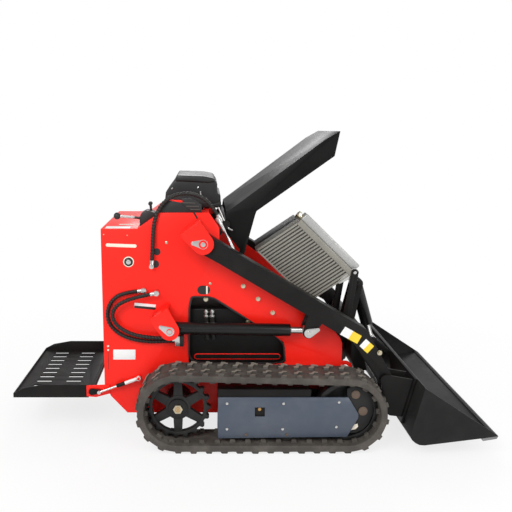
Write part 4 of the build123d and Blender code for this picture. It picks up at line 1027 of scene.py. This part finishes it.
sprocketSettings = {"teeth": 19, "root": 140, "tip": 157, "rim": 124, "disc": 60, "half": 15, "motor": 61,
                    "spokes": 6, "spokeRoot": 48, "rootHalf": 23, "endHalf": 19, "end": (20, 26),
                    "hub": [("sprocketHub", 0, 12, 46, 40, 0, glossBlack, 3),
                            ("hubRing", 10, 13, 30, 36, 26, castBlack, 0.5),
                            ("axleNut", 12, 25, 24, 6, 0, zincPlate, 2)]}
for side, tag in bothSides:
    makeSprocket(sprocketSettings, side, tag)


# front arm of the track frame, round the idler, with two pin ends
def idlerDress(s):
    for side, tag in bothSides:
        Shape().prism(s["arm"], *onSide(side, *s["armY"])).done("idlerArm" + tag, "chassis", castBlack, 3)
        for index, (x, z, radius) in enumerate(s["pins"]):
            pin = Shape().drum(x, z, *onSide(side, *s["pinY"]), radius, 28)
            pin.done("idlerPin%d%s" % (index, tag), "chassis", copperPin, 1.5)
        wedge = Shape().prism(s["wedge"], *onSide(side, *s["wedgeY"]))
        wedge.done("adjusterWedge" + tag, "chassis", creamPlate, 0.6)
        for index, x in enumerate(s["rollers"]):
            cap = Shape().drum(x, s["rollerZ"], *onSide(side, *s["rollerY"]), s["rollerRadius"], 18)
            cap.done("rollerCap%d%s" % (index, tag), "chassis", copperPin, 0.8)
        bolts("coverBolts" + tag, [(x, side * s["coverFace"], z) for x, z in s["bolts"]], "chassis", brightSteel,
              *s["boltSizes"])
        x, z, radius = s["grease"]
        cap = Shape().drum(x, z, *onSide(side, *s["greaseY"]), radius, 20)
        cap.done("greaseCap" + tag, "chassis", brassMetal, 0.8)


idlerDress({"armY": (496, 491), "pinY": (501, 495), "wedgeY": (499, 496), "rollerY": (513, 510), "rollerRadius": 7,
            "coverFace": 512, "boltSizes": (6.5, 5, 5), "grease": (387, 208, 8), "greaseY": (508, 500),
            "arm": [(800, 306), (826, 318), (868, 312), (904, 282), (925, 236), (928, 180), (908, 128), (880, 98),
                    (850, 84), (812, 80)],
            "pins": [(841, 278, 21), (878, 195, 22)],
            "wedge": [(822, 98), (838, 127), (855, 132), (858, 116), (846, 104)],
            "rollers": (324, 518), "rollerZ": 82,
            "bolts": [(233, 239), (499, 239), (760, 246), (233, 111), (497, 111), (751, 122)]})
print("running gear dressed")


# cowl over the air cleaner, dark box and vent in front of it
def topDress(s):
    for name, half, material, ease, segments in (
            ("airCowl", s["cowlHalf"], softBlack, 14, 4), ("cowlLid", s["cowlHalf"] + 5, blackPlastic, 9, 3),
            ("cowlSkirt", s["cowlHalf"] + 8, softBlack, 6, 3)):
        Shape().prism(s[name], -half, half).done(name, "chassis", material, ease, segments)
    Shape().prism(s["box"], -331, -322).done("deckBox", "chassis", softBlack, 2)
    Shape().prism(s["patch"], -330, -323).done("deckPatch", "chassis", redPaint, 1)
    Shape().prism(s["vent"], -334, -326).done("ventPlate", "chassis", blackPlastic, 2)
    for index, (a, b) in enumerate(s["ribs"]):
        Shape().capsule(a, b, -337, -333, 3, 3).done("ventRib%d" % index, "chassis", ventGrey, 1)
    for index, (a, b) in enumerate(s["clips"]):
        Shape().tube([a, b], 4, 12).done("cowlClip%d" % index, "chassis", brightSteel)
    Shape().tube(smoothRoute(s["pipe"], 5), s["pipeRadius"], 12).done("fuelPipe", "chassis", brightSteel)
    Shape().capsule(*s["gap"], skin - 1, skin + 0.5, 4, 4).done("deckGap", "chassis", softBlack)


topDress({
    "airCowl": [(-74, 1134), (-66, 1205), (-40, 1240), (-22, 1266), (182, 1262), (190, 1244), (190, 1200),
                (206, 1194), (209, 1134)],
    "cowlHalf": 186, "pipeRadius": 3.6,
    "cowlLid": [(-20, 1258), (-14, 1289), (37, 1288), (123, 1285), (172, 1275), (184, 1256), (144, 1250), (37, 1256)],
    "cowlSkirt": [(-74, 1128), (-62, 1190), (-18, 1200), (58, 1192), (171, 1148), (209, 1160), (209, 1128)],
    "box": [(-104, 1120), (-80, 1160), (-37, 1180), (14, 1171), (113, 1163), (113, 1121)],
    "patch": [(-40, 1178), (-34, 1184), (30, 1180), (30, 1164), (-10, 1170)],
    "vent": [(18, 1187), (58, 1192), (102, 1168), (115, 1134), (112, 1128), (60, 1131), (30, 1158)],
    "ribs": [((24, 1170), (80, 1168)), ((42, 1153), (98, 1152)), ((62, 1138), (104, 1137))],
    "clips": [((-36, -186, 1220), (-30, -186, 1228)), ((92, -188, 1226), (98, -188, 1232))],
    "pipe": [(107, -196, 1212), (107, -196, 1196), (109, -196, 1183), (118, -196, 1178), (138, -196, 1175)],
    "gap": ((74, 1127), (94, 1092)),
})


# hoses: spiral wrapped rubber on a spline, with a crimped fitting at the start
def splineRoute(name, points):
    curve = bpy.data.curves.new(name + "_line", "CURVE")
    curve.dimensions = "3D"
    curve.resolution_u = 8
    line = curve.splines.new("NURBS")
    line.points.add(len(points) - 1)
    for control, point in zip(line.points, points):
        control.co = (*spot(*point), 1)
    line.order_u = 3
    line.use_endpoint_u = True
    carrier = bpy.data.objects.new(name + "_line", curve)
    scene.collection.objects.link(carrier)
    bpy.context.view_layer.update()
    mesh = bpy.data.meshes.new_from_object(carrier.evaluated_get(bpy.context.evaluated_depsgraph_get()))
    route = [vertex.co.copy() for vertex in mesh.vertices]
    bpy.data.objects.remove(carrier)
    bpy.data.meshes.remove(mesh)
    return route


def evenRoute(route, step):
    # the same line with points at one even step
    spans = [(b - a).length for a, b in zip(route, route[1:])]
    total = sum(spans)
    count = max(2, round(total / step))
    even, gone, here = [], 0.0, 0
    for index in range(count + 1):
        want = total * index / count
        while here < len(spans) - 1 and gone + spans[here] < want:
            gone += spans[here]
            here += 1
        share = (want - gone) / spans[here] if spans[here] else 0
        even.append(route[here].lerp(route[here + 1], min(max(share, 0), 1)))
    return even, total


def hoseMesh(name, route, radius, ridge, turns, sides=14):
    # a tube whose surface rises along a helix, as a spiral guard does
    work = bmesh.new()
    rings = []
    side = crossStart
    gone = 0.0
    for here, point in enumerate(route):
        before, after = route[max(here - 1, 0)], route[min(here + 1, len(route) - 1)]
        heading = (after - before).normalized()
        side = (side - heading * side.dot(heading)).normalized()
        up = heading.cross(side)
        gone += (point - before).length
        ring = []
        for step in range(sides):
            turn = 2 * math.pi * step / sides
            lift = ridge * (0.5 + 0.5 * math.cos(2 * math.pi * gone * turns * 1000 - turn)) ** 0.6 if ridge else 0
            ring.append(work.verts.new(point + (radius - ridge + lift) / 1000 *
                                       (side * math.cos(turn) + up * math.sin(turn))))
        rings.append(ring)
    for near, far in zip(rings, rings[1:]):
        for step in range(sides):
            after = (step + 1) % sides
            work.faces.new((near[step], near[after], far[after], far[step]))
    work.faces.new(list(reversed(rings[0])))
    work.faces.new(rings[-1])
    bmesh.ops.recalc_face_normals(work, faces=work.faces)
    mesh = bpy.data.meshes.new(name)
    work.to_mesh(mesh)
    work.free()
    for face in mesh.polygons:
        face.use_smooth = True
    return mesh


def fitting(name, start, heading, length, radius):
    # crimped ferrule with a hexagon behind it; each share of its length has a radius
    crimp, nutFrom = radius - 1.2, 0.66
    profile = ((0, radius), (0.12, radius), (0.16, crimp), (0.3, crimp), (0.34, radius), (0.5, radius), (0.54, crimp),
               (nutFrom, crimp))

    def at(share):
        point = start.lerp(start + heading * length / 1000, share)
        return (point.x - axleX) * 1000, point.y * 1000, point.z * 1000

    shape = Shape().tube([at(share) for share, size in profile], [size for share, size in profile], 20)
    shape.tube([at(nutFrom), at(1)], radius + 1.0, 6)
    return shape.done(name, "chassis", brightSteel, 0.6)


def makeHose(name, node, points, s):
    route, total = evenRoute(splineRoute(name, points), s["step"])
    mesh = hoseMesh(name, route, s["radius"], s["ridge"], s["turns"])
    hose = place(name, mesh, "chassis", hoseRubber)
    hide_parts(node)
    begin = fitting(name + "Start", route[0], (route[0] - route[3]).normalized(), s["ferrule"], s["radius"] + 1)
    print(name, round(total, 3))


# turns per mm of the spiral, and the even step of the route in metres
hoseSettings = {"radius": 10.0, "ridge": 2.2, "turns": 1 / 15.0, "step": 0.0022, "ferrule": 30.0}


def beside(route):
    return [(x, skin - out, z) for x, out, z in route]


overTop = beside([(-125, 17, 895), (-121, 17, 950), (-119, 16, 1008), (-114, 14, 1066), (-101, 11, 1122),
                  (-70, 6, 1170), (-25, 0, 1203), (27, -4, 1215), (77, -5, 1211), (124, -6, 1190),
                  (160, -6, 1155), (188, -6, 1112)])
outerLoop = beside([(-197, 11, 741), (-250, 11, 734), (-300, 11, 716), (-334, 11, 678), (-348, 11, 629),
                    (-340, 11, 580), (-307, 11, 539), (-258, 11, 509), (-200, 11, 493), (-137, 11, 486),
                    (-74, 11, 490), (-16, 11, 490)])
innerLoop = beside([(-134, 33, 731), (-190, 33, 719), (-245, 33, 703), (-296, 33, 678), (-322, 33, 634),
                    (-308, 33, 585), (-265, 33, 550), (-210, 33, 527), (-152, 33, 516), (-90, 33, 512),
                    (-30, 33, 512)])
makeHose("hoseOverTop", "hose_over_top", overTop, hoseSettings)
makeHose("hoseOuterLoop", "hose_outer_loop", outerLoop, hoseSettings)
makeHose("hoseInnerLoop", "hose_inner_loop", innerLoop, hoseSettings)


# steel pipe below the top hose, and the thinner pipe beside it
def pipeRuns(s):
    for name, points, radius in s["pipes"]:
        Shape().tube(smoothRoute(points, 6), radius, 14).done(name, "chassis", brightSteel)
    a, b = s["sleeve"]
    middle = tuple((p + q) / 2 for p, q in zip(a, b))
    Shape().tube([a, middle, b], s["sleeveRadii"], 18).done("topSleeve", "chassis", brightSteel, 1)
    Shape().tube(s["nut"], 10, 6).done("topNut", "chassis", brightSteel, 0.8)


pipeRuns({
    "sleeve": ((186, -330, 1098), (208, -330, 1056)), "sleeveRadii": (12, 12.5, 11.5),
    "nut": [(208, -330, 1056), (221, -330, 1033)],
    "pipes": [("topPipe", [(219, -330, 1036), (236, -330, 1008), (250, -330, 983), (262, -330, 955),
                           (271, -330, 937), (284, -330, 922), (300, -330, 914)], 6),
              ("thinPipe", [(193, -312, 1145), (199, -312, 1130), (206, -312, 1114), (222, -312, 1077),
                            (238, -312, 1050), (248, -312, 1040), (262, -312, 1034)], 4.5)],
})


# black port block, sleeve of the platform strut and the lever's rod
def smallDress(s):
    Shape().block(*s["port"]).done("portBlock", "chassis", softBlack, 2)
    Shape().tube(s["sleeve"], 9.6, 20).done("strutSleeve", "platform_strut_barrel", blackPaint, 0.8)
    Shape().tube(s["leverRod"], 6.6, 16).done("leverRod", "chassis", brightSteel)
    for name, outline, y0, y1, material in s["labels"]:
        Shape().prism(outline, y0, y1).done(name, "chassis", material, 0.4)


def strutAt(share):
    # along the platform strut, from its post to its eye
    (x0, z0), (x1, z1) = (-199.0, 302.0), (-395.0, 229.0)
    return x0 + (x1 - x0) * share, -358.0, z0 + (z1 - z0) * share


smallDress({
    "port": (6, 26, -383, -336, 474, 527), "sleeve": (strutAt(0.34), strutAt(0.55)),
    "leverRod": [(-284, -262, 1095.6), (-214, -262, 1089)],
    "labels": [("consoleLabel", [(-352, 1043.6), (-232, 1043.6), (-232, 1045), (-352, 1045)], -318, -252, whiteLabel),
               ("consoleStrip", [(-300, 1043.6), (-222, 1043.6), (-222, 1045), (-300, 1045)], -205, -180, creamPlate)],
})
print("top dressed")
